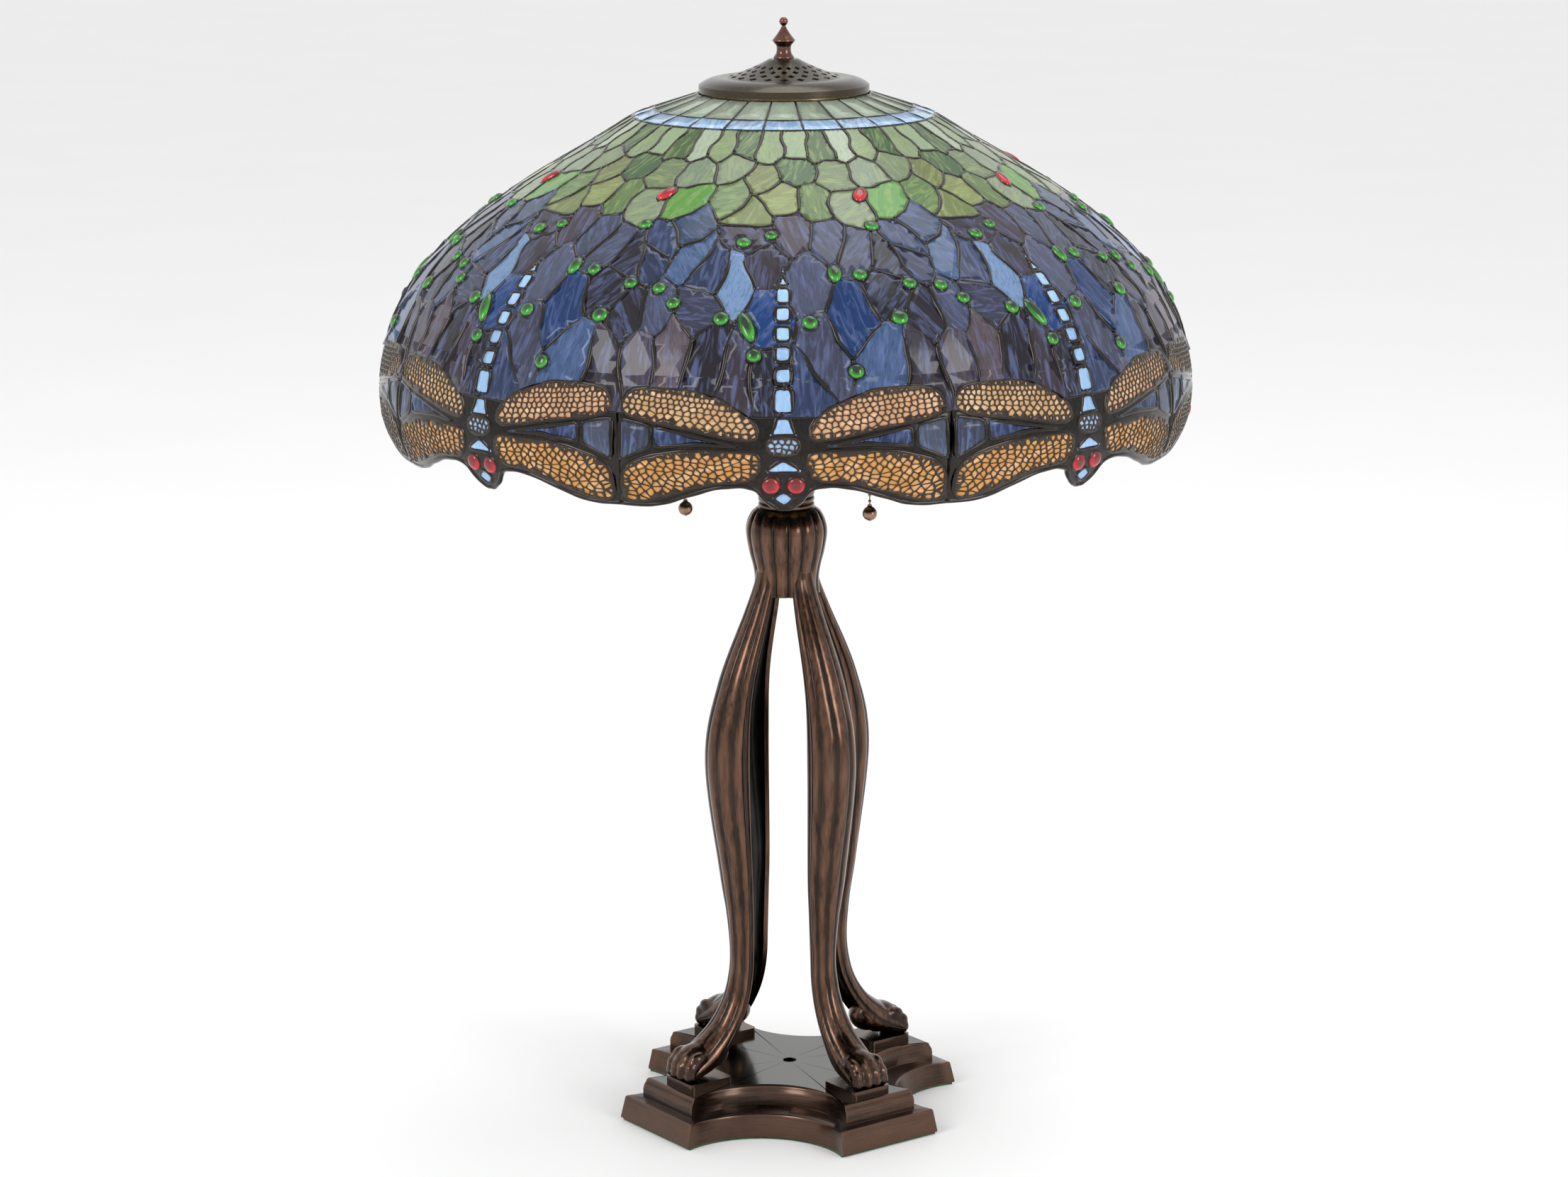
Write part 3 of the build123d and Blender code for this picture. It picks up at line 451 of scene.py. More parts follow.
# ------------------------------------------------------------------ mesh helpers
@dataclass
class Piece:
    """Vertices and faces that become one visible piece."""

    points: list = field(default_factory=list)
    faces: list = field(default_factory=list)
    tints: list = field(default_factory=list)
    uvs: list = field(default_factory=list)

    def add(self, points: Sequence, faces: Iterable, tint: Colour | None = None,
            uvs: Sequence[Point] | None = None) -> None:
        """Append a patch.

        Args:
            points: Its vertices.
            faces: Faces on its own vertex numbers.
            tint: Colour of the whole patch.
            uvs: One texture coordinate per vertex.
        """
        start = len(self.points)
        self.points.extend(points)
        self.faces.extend([tuple(start + i for i in face) for face in faces])
        if tint is not None:
            self.tints.extend([tint] * len(points))
        if uvs is not None:
            self.uvs.extend(uvs)

    def repeated(self, count: int) -> "Piece":
        """The piece copied at equal turns about the lamp's axis.

        Args:
            count: How many copies.

        Returns:
            A new piece with all copies.
        """
        base = np.array(self.points, float)
        result = Piece()
        for k in range(count):
            a = 2 * math.pi * k / count
            turned = base.copy()
            turned[:, 0] = base[:, 0] * math.cos(a) - base[:, 1] * math.sin(a)
            turned[:, 1] = base[:, 0] * math.sin(a) + base[:, 1] * math.cos(a)
            result.add(turned.tolist(), self.faces)
            result.tints.extend(self.tints)
            result.uvs.extend(self.uvs)
        return result

    def make(self, name: str, finish: Finish, body: str, slot: str, nodes: Sequence[str] = (),
             smooth: bool = True, crease: float = 0.0) -> bpy.types.Object:
        """Turn the piece into an object that rides on a body.

        Args:
            name: The object's name.
            finish: Its finish.
            body: The body that it moves with.
            slot: Not used.
            nodes: Nodes that it replaces.
            smooth: Whether its faces are shaded smooth.
            crease: Angle in degrees from which an edge stays sharp; 0 for none.

        Returns:
            The object.
        """
        mesh = bpy.data.meshes.new(name)
        mesh.from_pydata((np.array(self.points, float) * MM).tolist(), [], self.faces)
        mesh.validate()
        if self.tints:
            layer = mesh.color_attributes.new("tint", "FLOAT_COLOR", "POINT")
            layer.data.foreach_set("color", [c for tint in self.tints for c in (*tint, 1.0)])
        if self.uvs:
            uv = mesh.uv_layers.new(name="UVMap")
            index = np.empty(len(mesh.loops), int)
            mesh.loops.foreach_get("vertex_index", index)
            uv.data.foreach_set("uv", np.array(self.uvs, float)[index].ravel())
        mesh.polygons.foreach_set("use_smooth", [smooth] * len(mesh.polygons))
        if crease:
            mesh.set_sharp_from_angle(angle=math.radians(crease))
        mesh.materials.append(finish.made())
        made = bpy.data.objects.new(name, mesh)
        bpy.context.scene.collection.objects.link(made)
        settle(made, body, nodes)
        return made


def settle(made: bpy.types.Object, body: str, nodes: Sequence[str] = ()) -> None:
    """Tell the frame what a piece rides on and what it replaces.

    Args:
        made: The object.
        body: The body that it moves with.
        nodes: Nodes that it replaces.
    """
    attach(made, body)
    if nodes:
        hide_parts(*nodes)
    LOG.info("%s: %d faces on %s", made.name, len(made.data.polygons), body)


def direction(azimuth: float) -> tuple[float, float]:
    """Unit vector on the table in the direction of an azimuth."""
    a = math.radians(azimuth)
    return math.sin(a), -math.cos(a)


def spun(profile: Sequence[Point], steps: int = 48, centre: Point = (0.0, 0.0)) -> Piece:
    """Turned piece from (radius, height) points; a radius of 0 closes an end.

    Args:
        profile: The outline from one end to the other.
        steps: Segments round the axis.
        centre: Where the axis stands.

    Returns:
        The piece.
    """
    piece = Piece()
    points, rows = [], []
    for r, z in profile:
        if r <= 0:
            rows.append([len(points)])
            points.append((centre[0], centre[1], z))
        else:
            rows.append(list(range(len(points), len(points) + steps)))
            for k in range(steps):
                a = 2 * math.pi * k / steps
                points.append((centre[0] + r * math.cos(a), centre[1] + r * math.sin(a), z))
    piece.add(points, bridged(rows, closed=True))
    return piece


def bridged(rows: Sequence[Sequence[int]], closed: bool) -> list:
    """Faces between neighbouring rows of vertices.

    Args:
        rows: Vertex numbers, row by row; a row of one vertex is a tip.
        closed: Whether each row runs round to its start.

    Returns:
        The faces.
    """
    faces = []
    for low, high in zip(rows, rows[1:]):
        count = max(len(low), len(high))
        for k in range(count if closed else count - 1):
            n = (k + 1) % count
            if len(low) == 1:
                faces.append((low[0], high[n], high[k]))
            elif len(high) == 1:
                faces.append((low[k], low[n], high[0]))
            else:
                faces.append((low[k], low[n], high[n], high[k]))
    return faces


def flowing(points: Sequence[Sequence[float]], per_span: int, closed: bool = False) -> list:
    """Points along a smooth curve through the given ones.

    Args:
        points: Points with any number of coordinates.
        per_span: Points that each span gets.
        closed: Whether the curve runs back to its start.

    Returns:
        The curve's points.
    """
    p = np.array(points, float)
    count = len(p)
    result = []
    spans = count if closed else count - 1
    for i in range(spans):
        if closed:
            a, b, c, d = p[i - 1], p[i], p[(i + 1) % count], p[(i + 2) % count]
        else:
            b, c = p[i], p[i + 1]
            a = p[i - 1] if i else 2 * b - c
            d = p[i + 2] if i + 2 < count else 2 * c - b
        for k in range(per_span):
            t = k / per_span
            result.append(0.5 * (2 * b + (c - a) * t + (2 * a - 5 * b + 4 * c - d) * t * t
                                 + (3 * b - a - 3 * c + d) * t ** 3))
    if not closed:
        result.append(p[-1])
    return [tuple(float(v) for v in q) for q in result]


def swept(path: Sequence[Sequence[float]], ups: Sequence[Sequence[float]], half_w: Sequence[float],
          half_h: Sequence[float], sides: int = 8, closed: bool = False) -> Piece:
    """Rounded strip that follows a path.

    Args:
        path: Points along the middle.
        ups: Which way is up at each point.
        half_w: Half width at each point.
        half_h: Half height at each point.
        sides: Corners of the section.
        closed: Whether the path runs back to its start.

    Returns:
        The piece.
    """
    p = np.array(path, float)
    n = np.array(ups, float)
    ahead = np.roll(p, -1, 0) - np.roll(p, 1, 0)
    if not closed:
        ahead[0], ahead[-1] = p[1] - p[0], p[-1] - p[-2]
    side = np.cross(n, ahead)
    side /= np.linalg.norm(side, axis=1)[:, None] + 1e-9
    points, rows = [], []
    for k in range(len(p)):
        rows.append(list(range(len(points), len(points) + sides)))
        for j in range(sides):
            a = 2 * math.pi * (j + 0.5) / sides
            points.append((p[k] + side[k] * math.cos(a) * half_w[k]
                           + n[k] * math.sin(a) * half_h[k]).tolist())
    if closed:
        rows.append(rows[0])
    piece = Piece()
    faces = bridged(rows, closed=True)
    if not closed:
        faces += [tuple(reversed(rows[0])), tuple(rows[-1])]
    piece.add(points, faces)
    return piece


# ------------------------------------------------------------------ shade
class Kind(Enum):
    """What a patch of the shade is made of."""

    LEAD = "lead"
    CROWN = "crown"
    BAND = "band"
    LEAF = "leaf"
    FIELD = "field"
    SKIRT = "skirt"
    WING = "wing"
    BODY = "body"
    GREEN = "green"
    RED = "red"


TONES: dict[str, Colour] = {
    "plum": (0.060, 0.046, 0.062), "coal": (0.022, 0.018, 0.026), "slate": (0.075, 0.090, 0.150),
    "navy": (0.030, 0.050, 0.125), "mauve": (0.120, 0.095, 0.110), "cobalt": (0.008, 0.060, 0.240),
    "sky": (0.180, 0.300, 0.520), "steel": (0.060, 0.120, 0.240),
    "grass": (0.120, 0.330, 0.060), "olive": (0.230, 0.270, 0.095), "moss": (0.130, 0.220, 0.080),
    "sage": (0.270, 0.340, 0.200), "mint": (0.330, 0.440, 0.300), "fern": (0.075, 0.170, 0.060),
    "pale": (0.430, 0.520, 0.430), "ice": (0.390, 0.610, 0.900), "powder": (0.330, 0.540, 0.830),
    "peach": (0.760, 0.420, 0.210), "amber": (0.780, 0.360, 0.100), "clear": (0.5, 0.5, 0.5),
}
FIELD_SEEDS = [
    (16.3, 132, "coal"), (11, 121, "cobalt"), (21.8, 117, "coal"), (19.5, 94, "plum"),
    (14.5, 99, "steel"),
    (-20, 97, "mauve"), (-16.3, 103, "mauve"), (22.3, 153, "navy"), (18, 151, "coal"),
    (12.9, 157, "slate"),
    (8.4, 163, "slate"), (2.2, 165, "plum"), (-18.2, 168, "steel"), (-15.7, 153, "steel"),
    (-12.2, 146, "navy"), (-7.5, 141, "sky"), (-13, 121, "slate"), (-10.6, 98, "coal"),
    (-5.8, 85, "plum"),
    (-1.9, 120, "cobalt"), (-3.1, 147, "plum"), (3.5, 141, "slate"), (5.1, 96, "slate"),
    (2.7, 77, "navy"),
    (-2.1, 82, "coal"), (-19.6, 120, "slate"), (-6.6, 166, "plum"), (-22, 158, "navy"),
]
LEAF_SEEDS = [
    (-0.8, 186, "olive"), (7.3, 182, "moss"), (13.3, 179, "mint"), (-21.3, 183, "grass"),
    (-11.2, 186, "moss"), (-6.6, 175, "olive"), (-4.8, 195, "olive"), (22.5, 198, "mint"),
    (13.2, 197, "sage"), (3.3, 200, "fern"), (-13.6, 201, "sage"),
    (-19.5, 212, "sage"), (-11.5, 213, "fern"), (-4.0, 212, "sage"), (3.8, 213, "mint"),
    (11.4, 212, "moss"), (18.8, 213, "pale"),
]
GREEN_SPOTS = [
    (-7.1, 161, 4.6, 4.6, 0), (-2.2, 165, 4, 4, 0), (17.3, 169, 4.6, 4.6, 0),
    (20.3, 137, 4.4, 4.4, 0),
    (-19.6, 135, 4.4, 4.4, 0), (-16.7, 127, 4.4, 4.4, 0), (-9, 119, 5, 5, 0),
    (17.2, 118, 5.4, 5.4, 0),
    (3.9, 117, 5, 5, 0), (12.5, 143, 4.6, 4.6, 0), (-4, 98, 4.6, 4.6, 0), (9.9, 88, 4.8, 4.8, 0),
    (8.4, 144, 4.2, 7.4, 0), (-5.2, 114.5, 4.2, 11.5, -22),
]
RED_SPOTS = [(17.7, 186, 4.2, 8.0, 28), (-1.65, 17, 5.6, 5.6, 0), (1.65, 17, 5.6, 5.6, 0)]
UPPER_WING = [(3.6, 46.5), (3.6, 55), (5.4, 64), (10.5, 75), (15.4, 77.5), (20.0, 76), (21.5, 70),
              (21.6, 62), (18.8, 57), (12.0, 52), (7.5, 47.5)]
LOWER_WING = [(3.3, 37), (6.9, 39), (12.5, 38.5), (16.8, 35.5), (20.6, 29), (21.7, 20), (21.6, 5),
              (19.5, 3.4), (16.5, 6.5), (9.6, 17.0), (5.2, 19), (3.4, 24)]
SLIVERS = [
    ([(5.4, 42.0), (10.9, 43.2), (17.0, 40.4), (17.0, 53.0), (12.4, 49.0), (8.0, 44.6)], "navy"),
    ([(17.6, 40.0), (21.9, 31.0), (21.9, 57.6), (19.2, 55.2), (17.6, 53.4)], "slate"),
]
TILES = [
    (137.9, 146.0, 1.02, 0.10), (128.0, 136.6, 1.08, 1.04), (117.7, 125.9, 1.10, 1.08),
    (106.2, 114.9, 1.10, 1.08), (94.4, 103.4, 1.08, 1.06), (81.2, 90.8, 1.08, 1.06),
    (63.0, 78.6, 1.28, 1.16), (49.5, 60.6, 1.75, 1.00),
]
BODY_SPOTS = [
    [(-1.6, 48.0), (1.6, 48.0), (2.3, 43.5), (1.9, 38.5), (0.9, 36.5), (-0.9, 36.5), (-1.9, 38.5),
     (-2.3, 43.5)],
    [(0, 34.6), (2.3, 27.0), (2.0, 25.4), (-2.0, 25.4), (-2.3, 27.0)],
    [(0, 2.2), (1.5, 8.2), (0, 13.2), (-1.5, 8.2)],
]
RIM = [(0.0, -0.8), (0.9, -0.1), (2.4, 5.5), (3.6, 12.6), (5.6, 15.2), (9.0, 13.6), (13.0, 7.4),
       (16.5, 1.6), (19.4, -0.3), (22.5, 0.0)]


@dataclass
class Dome:
    """The shade's form: an even map of its surface, and points and directions on it."""

    rim: float
    belly: float
    height: float
    lead: float = 4.4
    stations: tuple[Point, ...] = (
        (-6, 266.5), (5, 272.6), (20, 277.7), (40, 279.4), (60, 276.9), (85, 270.1), (115, 252.5),
        (145, 223.5), (175, 182.2), (205, 131.4), (221.9, 103.4), (227, 89.0), (237, 58.0),
    )

    def __post_init__(self) -> None:
        """Sample the outline closely."""
        line = np.array(flowing(self.stations, 24))
        line[:, 1] = np.minimum(line[:, 1], self.belly)
        step = np.diff(line, axis=0)
        length = np.hypot(step[:, 0], step[:, 1])
        middle = (line[1:, 1] + line[:-1, 1]) / 2
        self.z, self.r = line[:, 0], line[:, 1]
        even = np.concatenate(([0], np.cumsum(length / middle)))
        self.q = (even - np.interp(0.0, self.z, even)) * self.belly
        slope = np.gradient(line, axis=0)
        norm = np.hypot(slope[:, 0], slope[:, 1])
        self.nr, self.nz = slope[:, 0] / norm, -slope[:, 1] / norm

    def flat(self, azimuth: float, height: float) -> Point:
        """Place on the flat map of an azimuth and a height above the rim."""
        return (math.radians(azimuth) * self.belly, float(np.interp(height, self.z, self.q)))

    def scale(self, spot: Point) -> float:
        """Millimetres on the dome for one on the map."""
        return float(np.interp(spot[1], self.q, self.r)) / self.belly

    def solid(self, spots: Sequence[Point], depth: float | Sequence[float],
              turn: float) -> np.ndarray:
        """Points in space.

        Args:
            spots: Places on the map.
            depth: How far outside the middle of the leads they lie.
            turn: Azimuth of the map's middle.

        Returns:
            One row per point.
        """
        s = np.array(spots, float)
        r, z = np.interp(s[:, 1], self.q, self.r), np.interp(s[:, 1], self.q, self.z)
        nr, nz = np.interp(s[:, 1], self.q, self.nr), np.interp(s[:, 1], self.q, self.nz)
        out = np.asarray(depth) - self.lead
        r, z = r + nr * out, z + nz * out + self.rim
        a = s[:, 0] / self.belly + math.radians(turn)
        return np.column_stack((r * np.sin(a), -r * np.cos(a), z))

    def up(self, spots: Sequence[Point], turn: float) -> np.ndarray:
        """Outward directions at places on the map."""
        return self.solid(spots, 1.0, turn) - self.solid(spots, 0.0, turn)


@dataclass
class Patch:
    """An outline on the map and what fills it."""

    outline: Outline
    kind: Kind
    rank: int
    tone: str = "clear"
    streak: float = 90.0


def closed_curve(points: Sequence[Point], per_span: int = 4) -> Outline:
    """Smooth closed outline through points."""
    return flowing(points, per_span, closed=True)


def clip(outline: Outline, point: Point, away: Point) -> Outline:
    """Cut an outline by the line half-way between two points and keep the first one's side.

    Args:
        outline: Convex outline.
        point: The point whose side stays.
        away: The other point.

    Returns:
        The cut outline.
    """
    mx, my = (point[0] + away[0]) / 2, (point[1] + away[1]) / 2
    dx, dy = away[0] - point[0], away[1] - point[1]
    sides = [(x - mx) * dx + (y - my) * dy for x, y in outline]
    result = []
    for k, (x, y) in enumerate(outline):
        n = (k + 1) % len(outline)
        if sides[k] <= 0:
            result.append((x, y))
        if (sides[k] < 0 < sides[n]) or (sides[n] < 0 < sides[k]):
            t = sides[k] / (sides[k] - sides[n])
            result.append((x + (outline[n][0] - x) * t, y + (outline[n][1] - y) * t))
    return result


def divided(outline: Outline, length: float) -> Outline:
    """Outline with its long edges divided."""
    result = []
    for k, (x, y) in enumerate(outline):
        n = outline[(k + 1) % len(outline)]
        count = max(1, round(math.hypot(n[0] - x, n[1] - y) / length))
        result.extend((x + (n[0] - x) * j / count, y + (n[1] - y) * j / count)
                      for j in range(count))
    return result


def mirrored(points: Sequence[Point]) -> Outline:
    """Outline on the other side of the dragonfly."""
    return [(-x, y) for x, y in points]


def area(outline: Sequence[Point]) -> float:
    """Area of an outline, negative if it runs clockwise."""
    return sum(a[0] * b[1] - b[0] * a[1] for a, b in zip(outline, [*outline[1:], outline[0]])) / 2


def anticlockwise(outline: Outline) -> Outline:
    """The outline, running anticlockwise."""
    return outline if area(outline) > 0 else list(reversed(outline))


def inside(outline: Outline, spot: Point) -> bool:
    """Whether a place lies in an outline."""
    x, y = spot
    hit = False
    for k, (ax, ay) in enumerate(outline):
        bx, by = outline[k - 1]
        if (ay > y) != (by > y) and x < (bx - ax) * (y - ay) / (by - ay) + ax:
            hit = not hit
    return hit


GLASS_BODY = "shade"
HOLE_SHARES = (1.0, 0.8, 0.62, 0.46)  # sizes tried for a hole of the pierced sheet, largest first
HOLE_WALL = 0.45                      # metal on each side of a hole
HOLE_MARGIN = 0.1                     # least metal between a hole and the sheet's edge
HOLE_TAPER = 1.15                     # extra metal at a hole's corners
HOLE_CORNER = 0.20                    # share of each side that a cut corner takes
LEAST_HOLE = 0.9                      # smallest hole's area
STEADY_SHADE = 0.62                   # tone of wing and body panes
PANE_SHADES = (0.34, 0.68)            # range of tone of all other panes
FIELD_LEAD, CROWN_LEAD, WING_LEAD = 1.3, 0.9, 1.35  # lead widths, as shares of the usual one
LOOKS: dict[Kind, tuple[str, Finish, str, tuple[str, ...]]] = {
    Kind.CROWN: ("crown_panes", Finish.CROWN, "glass_crown", ("crown_glass",)),
    Kind.BAND: ("band_panes", Finish.BAND, "glass_band", ("band_glass",)),
    Kind.LEAF: ("leaf_panes", Finish.LEAF, "glass_leaf", ("leaf_glass",)),
    Kind.FIELD: ("field_panes", Finish.FIELD, "glass_field", ("field_glass",)),
    Kind.SKIRT: ("skirt_panes", Finish.SKIRT, "glass_skirt", ("skirt_glass",)),
    Kind.WING: ("wing_panes", Finish.WING, "glass_wing", ("wing_glass",)),
    Kind.BODY: ("body_panes", Finish.BODY, "glass_body", ("body_glass",)),
}


@dataclass
class Shade:
    """Leaded dome: panes, solder lines, pierced wings and jewels of one dragonfly, set round the axis."""

    dome: Dome
    turn: float
    count: int = 8
    glass: float = 3.0
    lead_half: float = 1.4
    grid: float = 8.5
    rise: float = 3.2
    tall: float = 0.66
    rng: random.Random = field(default_factory=lambda: random.Random(11))

    def __post_init__(self) -> None:
        """Work out the layout of one dragonfly."""
        self.period = math.radians(360 / self.count) * self.dome.belly
        self.glass_out = self.dome.lead - 0.7
        self.patches = self._patches()
        self._divide()

    def _placed(self, outline: Sequence[Point]) -> Outline:
        """Outline given by azimuth and height, on the map."""
        return [self.dome.flat(a, h) for a, h in outline]

    def _waved(self, outline: Outline) -> Outline:
        """Outline bent a little, alike in each dragonfly's share."""
        w = 2 * math.pi / self.period
        result = []
        for x, y in outline:
            dx = 2.2 * math.sin(3 * w * x + 0.071 * y) + 1.3 * math.sin(5 * w * x - 0.13 * y + 1.0)
            dy = 2.0 * math.sin(4 * w * x + 0.053 * y + 2.0) + 1.2 * math.cos(7 * w * x + 0.11 * y)
            fade = min(1.0, max(0.0, (self.strip_q - y) / 12.0), max(0.0, (y - self.low_q) / 12.0))
            result.append((x + dx * fade, y + dy * fade))
        return result

    def _oval(self, spot: Sequence[float], steps: int = 24) -> Outline:
        """Outline of a jewel on the map."""
        azimuth, height, half_w, half_l, tilt = spot
        cx, cy = self.dome.flat(azimuth, height)
        scale, t = self.dome.scale((cx, cy)), math.radians(tilt)
        result = []
        for k in range(steps):
            a = 2 * math.pi * k / steps
            u, v = half_w * math.cos(a) / scale, half_l * math.sin(a) / scale
            result.append((cx + u * math.cos(t) + v * math.sin(t),
                           cy - u * math.sin(t) + v * math.cos(t)))
        return result

    def _patches(self) -> list[Patch]:
        """Every outline of one dragonfly's share, on the map."""
        half = self.period / 2
        self.low_q, self.strip_q = self.dome.flat(0, 61)[1], self.dome.flat(0, 221.9)[1]
        band_q, crown_q = self.dome.flat(0, 227)[1], self.dome.flat(0, 236.4)[1]
        right = [self.dome.flat(a, h) for a, h in flowing(RIM, 5)]
        right[-1] = (half, right[-1][1])
        edge = list(reversed(mirrored(right)))[:-1] + right
        top = self.dome.flat(0, 84)[1]
        patches = [Patch(edge + [(half, top), (-half, top)], Kind.LEAD, 0)]
        seeds = []
        for table, kind in ((FIELD_SEEDS, Kind.FIELD), (LEAF_SEEDS, Kind.LEAF)):
            for azimuth, height, tone in table:
                seeds.append((*self.dome.flat(azimuth, height), kind, tone, height))
        points = [(s[0] + k * self.period, s[1] * self.tall) for k in (-1, 0, 1) for s in seeds]
        for x, y, kind, tone, height in seeds:
            low, high = self.low_q * self.tall, self.strip_q * self.tall
            cell = [(x - half, low), (x + half, low), (x + half, high), (x - half, high)]
            for other in points:
                if 0.01 < math.hypot(other[0] - x, other[1] - y * self.tall) < 160:
                    cell = clip(cell, (x, y * self.tall), other)
            cell = [(u, v / self.tall) for u, v in cell]
            streak = self.rng.gauss(90, 8) if height < 105 else self.rng.gauss(75
                    if kind is Kind.LEAF else 90, 32)
            patches.append(Patch(self._waved(divided(cell, 5)), kind, 1, tone, streak))
        share = self.period / 3
        for k in range(3):
            x0 = -half + k * share
            for low, high, kind, tone in ((self.strip_q, band_q, Kind.BAND, "ice"),
                                          (band_q, crown_q, Kind.CROWN, "pale")):
                box = [(x0, low), (x0 + share, low), (x0 + share, high), (x0, high)]
                patches.append(Patch(divided(box, 6), kind, 1, tone, 90 + 20 * (k - 1)))
        for side in (lambda o: o, mirrored):
            for outline, tone in ((UPPER_WING, "peach"), (LOWER_WING, "amber")):
                patches.append(Patch(closed_curve(self._placed(side(outline))), Kind.WING, 3, tone,
                                     20))
            for outline, tone in SLIVERS:
                patches.append(Patch(self._placed(side(outline)), Kind.SKIRT, 2, tone))
        for low, high, w0, w1 in TILES:
            box = [(-w0, low), (w0, low), (w1 * 1.04, (low + high) / 2), (w1, high), (-w1, high),
                   (-w1 * 1.04, (low + high) / 2)]
            patches.append(Patch(self._placed(box), Kind.BODY, 4,
                                 "powder" if high > 60 and high < 104 else "ice"))
        for outline in BODY_SPOTS:
            patches.append(Patch(self._placed(outline), Kind.BODY, 4, "ice"))
        for table, kind in ((GREEN_SPOTS, Kind.GREEN), (RED_SPOTS, Kind.RED)):
            patches += [Patch(self._oval(spot), kind, 6) for spot in table]
        return patches

    def _divide(self) -> None:
        """Divide the map into triangles that each belong to one patch."""
        spots: list[Point] = []
        outlines = []
        for patch in self.patches:
            outlines.append(list(range(len(spots), len(spots) + len(patch.outline))))
            spots += anticlockwise(patch.outline)
        top = self.dome.flat(0, 236.4)[1]
        for i in range(-24, 25):
            for j in range(-1, 60):
                x, y = i * self.grid + (j % 2) * self.grid / 2, j * self.grid * 0.87
                if abs(x) < self.period / 2 + 40 and y < top:
                    spots.append((x + 0.13, y + 0.07))
        made = delaunay_2d_cdt([Vector(s) for s in spots], [], outlines, 1, 1e-4)
        self.spots = [(v.x, v.y) for v in made[0]]
        self.triangles, self.owners = [], []
        for face, owners in zip(made[2], made[5]):
            if owners:
                self.triangles.append(tuple(face))
                self.owners.append(max(owners, key=lambda k: (self.patches[k].rank, k)))

    def panes(self) -> None:
        """Make every sheet-glass pane."""
        groups: dict[int, list] = {}
        for face, owner in zip(self.triangles, self.owners):
            groups.setdefault(owner, []).append(face)
        pieces = {kind: Piece() for kind in LOOKS}
        for owner, faces in sorted(groups.items()):
            patch = self.patches[owner]
            if patch.kind in pieces:
                self._pane(pieces[patch.kind], patch, faces)
        for kind, (name, finish, slot, nodes) in LOOKS.items():
            pieces[kind].repeated(self.count).make(name, finish, GLASS_BODY, slot, nodes)

    def _pane(self, piece: Piece, patch: Patch, faces: list) -> None:
        """Add one pane, flatter than the dome and turned a little.

        Args:
            piece: The piece that takes it.
            patch: What it is.
            faces: Its triangles.
        """
        used = sorted({v for face in faces for v in face})
        place = {v: k for k, v in enumerate(used)}
        spots = [self.spots[v] for v in used]
        outer = self.dome.solid(spots, self.glass_out, self.turn)
        inner = self.dome.solid(spots, self.glass_out - self.glass, self.turn)
        if patch.kind not in (Kind.WING, Kind.BODY):
            middle = outer.mean(0)
            normal = np.linalg.svd(outer - middle)[2][-1]
            tip = np.array([self.rng.gauss(0, 0.014) for _ in range(3)])
            shift = -((outer - middle) @ normal)[:, None] * normal * 0.75
            shift += ((outer - middle) @ tip)[:, None] * normal * 0.6
            outer, inner = outer + shift, inner + shift
        n = len(used)
        front = [tuple(place[v] for v in face) for face in faces]
        count: dict[tuple[int, int], int] = {}
        for a, b, c in front:
            for e in ((a, b), (b, c), (c, a)):
                count[e] = 1
        walls = [(b, a, a + n, b + n) for a, b in count if (b, a) not in count]
        t = math.radians(patch.streak)
        ox, oy = self.rng.uniform(0, 50), self.rng.uniform(0, 50)
        k = self.dome.scale(spots[0]) / 26
        uvs = [((x * math.cos(t) + y * math.sin(t)) * k + ox,
                (y * math.cos(t) - x * math.sin(t)) * k + oy) for x, y in spots]
        base = TONES[patch.tone]
        steady = patch.kind in (Kind.WING, Kind.BODY)
        value = STEADY_SHADE if steady else self.rng.uniform(*PANE_SHADES)
        tint = tuple(min(1.0, c * value * self.rng.uniform(0.95, 1.05)) for c in base)
        faces3 = front + [tuple(v + n for v in reversed(f)) for f in front] + walls
        piece.add(outer.tolist() + inner.tolist(), faces3, tint, uvs + uvs)

    def _borders(self) -> list[tuple[list[int], bool, float]]:
        """Lines between patches: their points, whether they close, and their width."""
        beside: dict[tuple[int, int], list[int]] = {}
        for face, owner in zip(self.triangles, self.owners):
            for k in range(3):
                a, b = face[k], face[(k + 1) % 3]
                beside.setdefault((min(a, b), max(a, b)), []).append(owner)
        links: dict[int, list[int]] = {}
        self.edge_width: dict[tuple[int, int], float] = {}
        for (a, b), owners in beside.items():
            kinds = {self.patches[o].kind for o in owners}
            if len(owners) == 2 and owners[0] == owners[1]:
                continue
            if len(owners) == 1:
                x = (self.spots[a][0] + self.spots[b][0]) / 2
                y = (self.spots[a][1] + self.spots[b][1]) / 2
                if kinds == {Kind.LEAD} or (x < 0 and y < self.dome.flat(0, 236)[1]):
                    continue
            width = FIELD_LEAD
            if kinds & {Kind.CROWN, Kind.BAND}:
                width = CROWN_LEAD
            elif kinds & {Kind.WING, Kind.GREEN, Kind.RED}:
                width = WING_LEAD
            self.edge_width[(a, b)] = width
            links.setdefault(a, []).append(b)
            links.setdefault(b, []).append(a)
        self.knots = [v for v, near in links.items() if len(near) != 2]
        done: set[tuple[int, int]] = set()
        lines = []
        starts = self.knots + list(links)
        for start in starts:
            for step in links[start]:
                if (min(start, step), max(start, step)) in done:
                    continue
                if start not in self.knots and len(links[start]) != 2:
                    continue
                line = [start, step]
                done.add((min(start, step), max(start, step)))
                while len(links[line[-1]]) == 2 and line[-1] != start:
                    a, b = links[line[-1]]
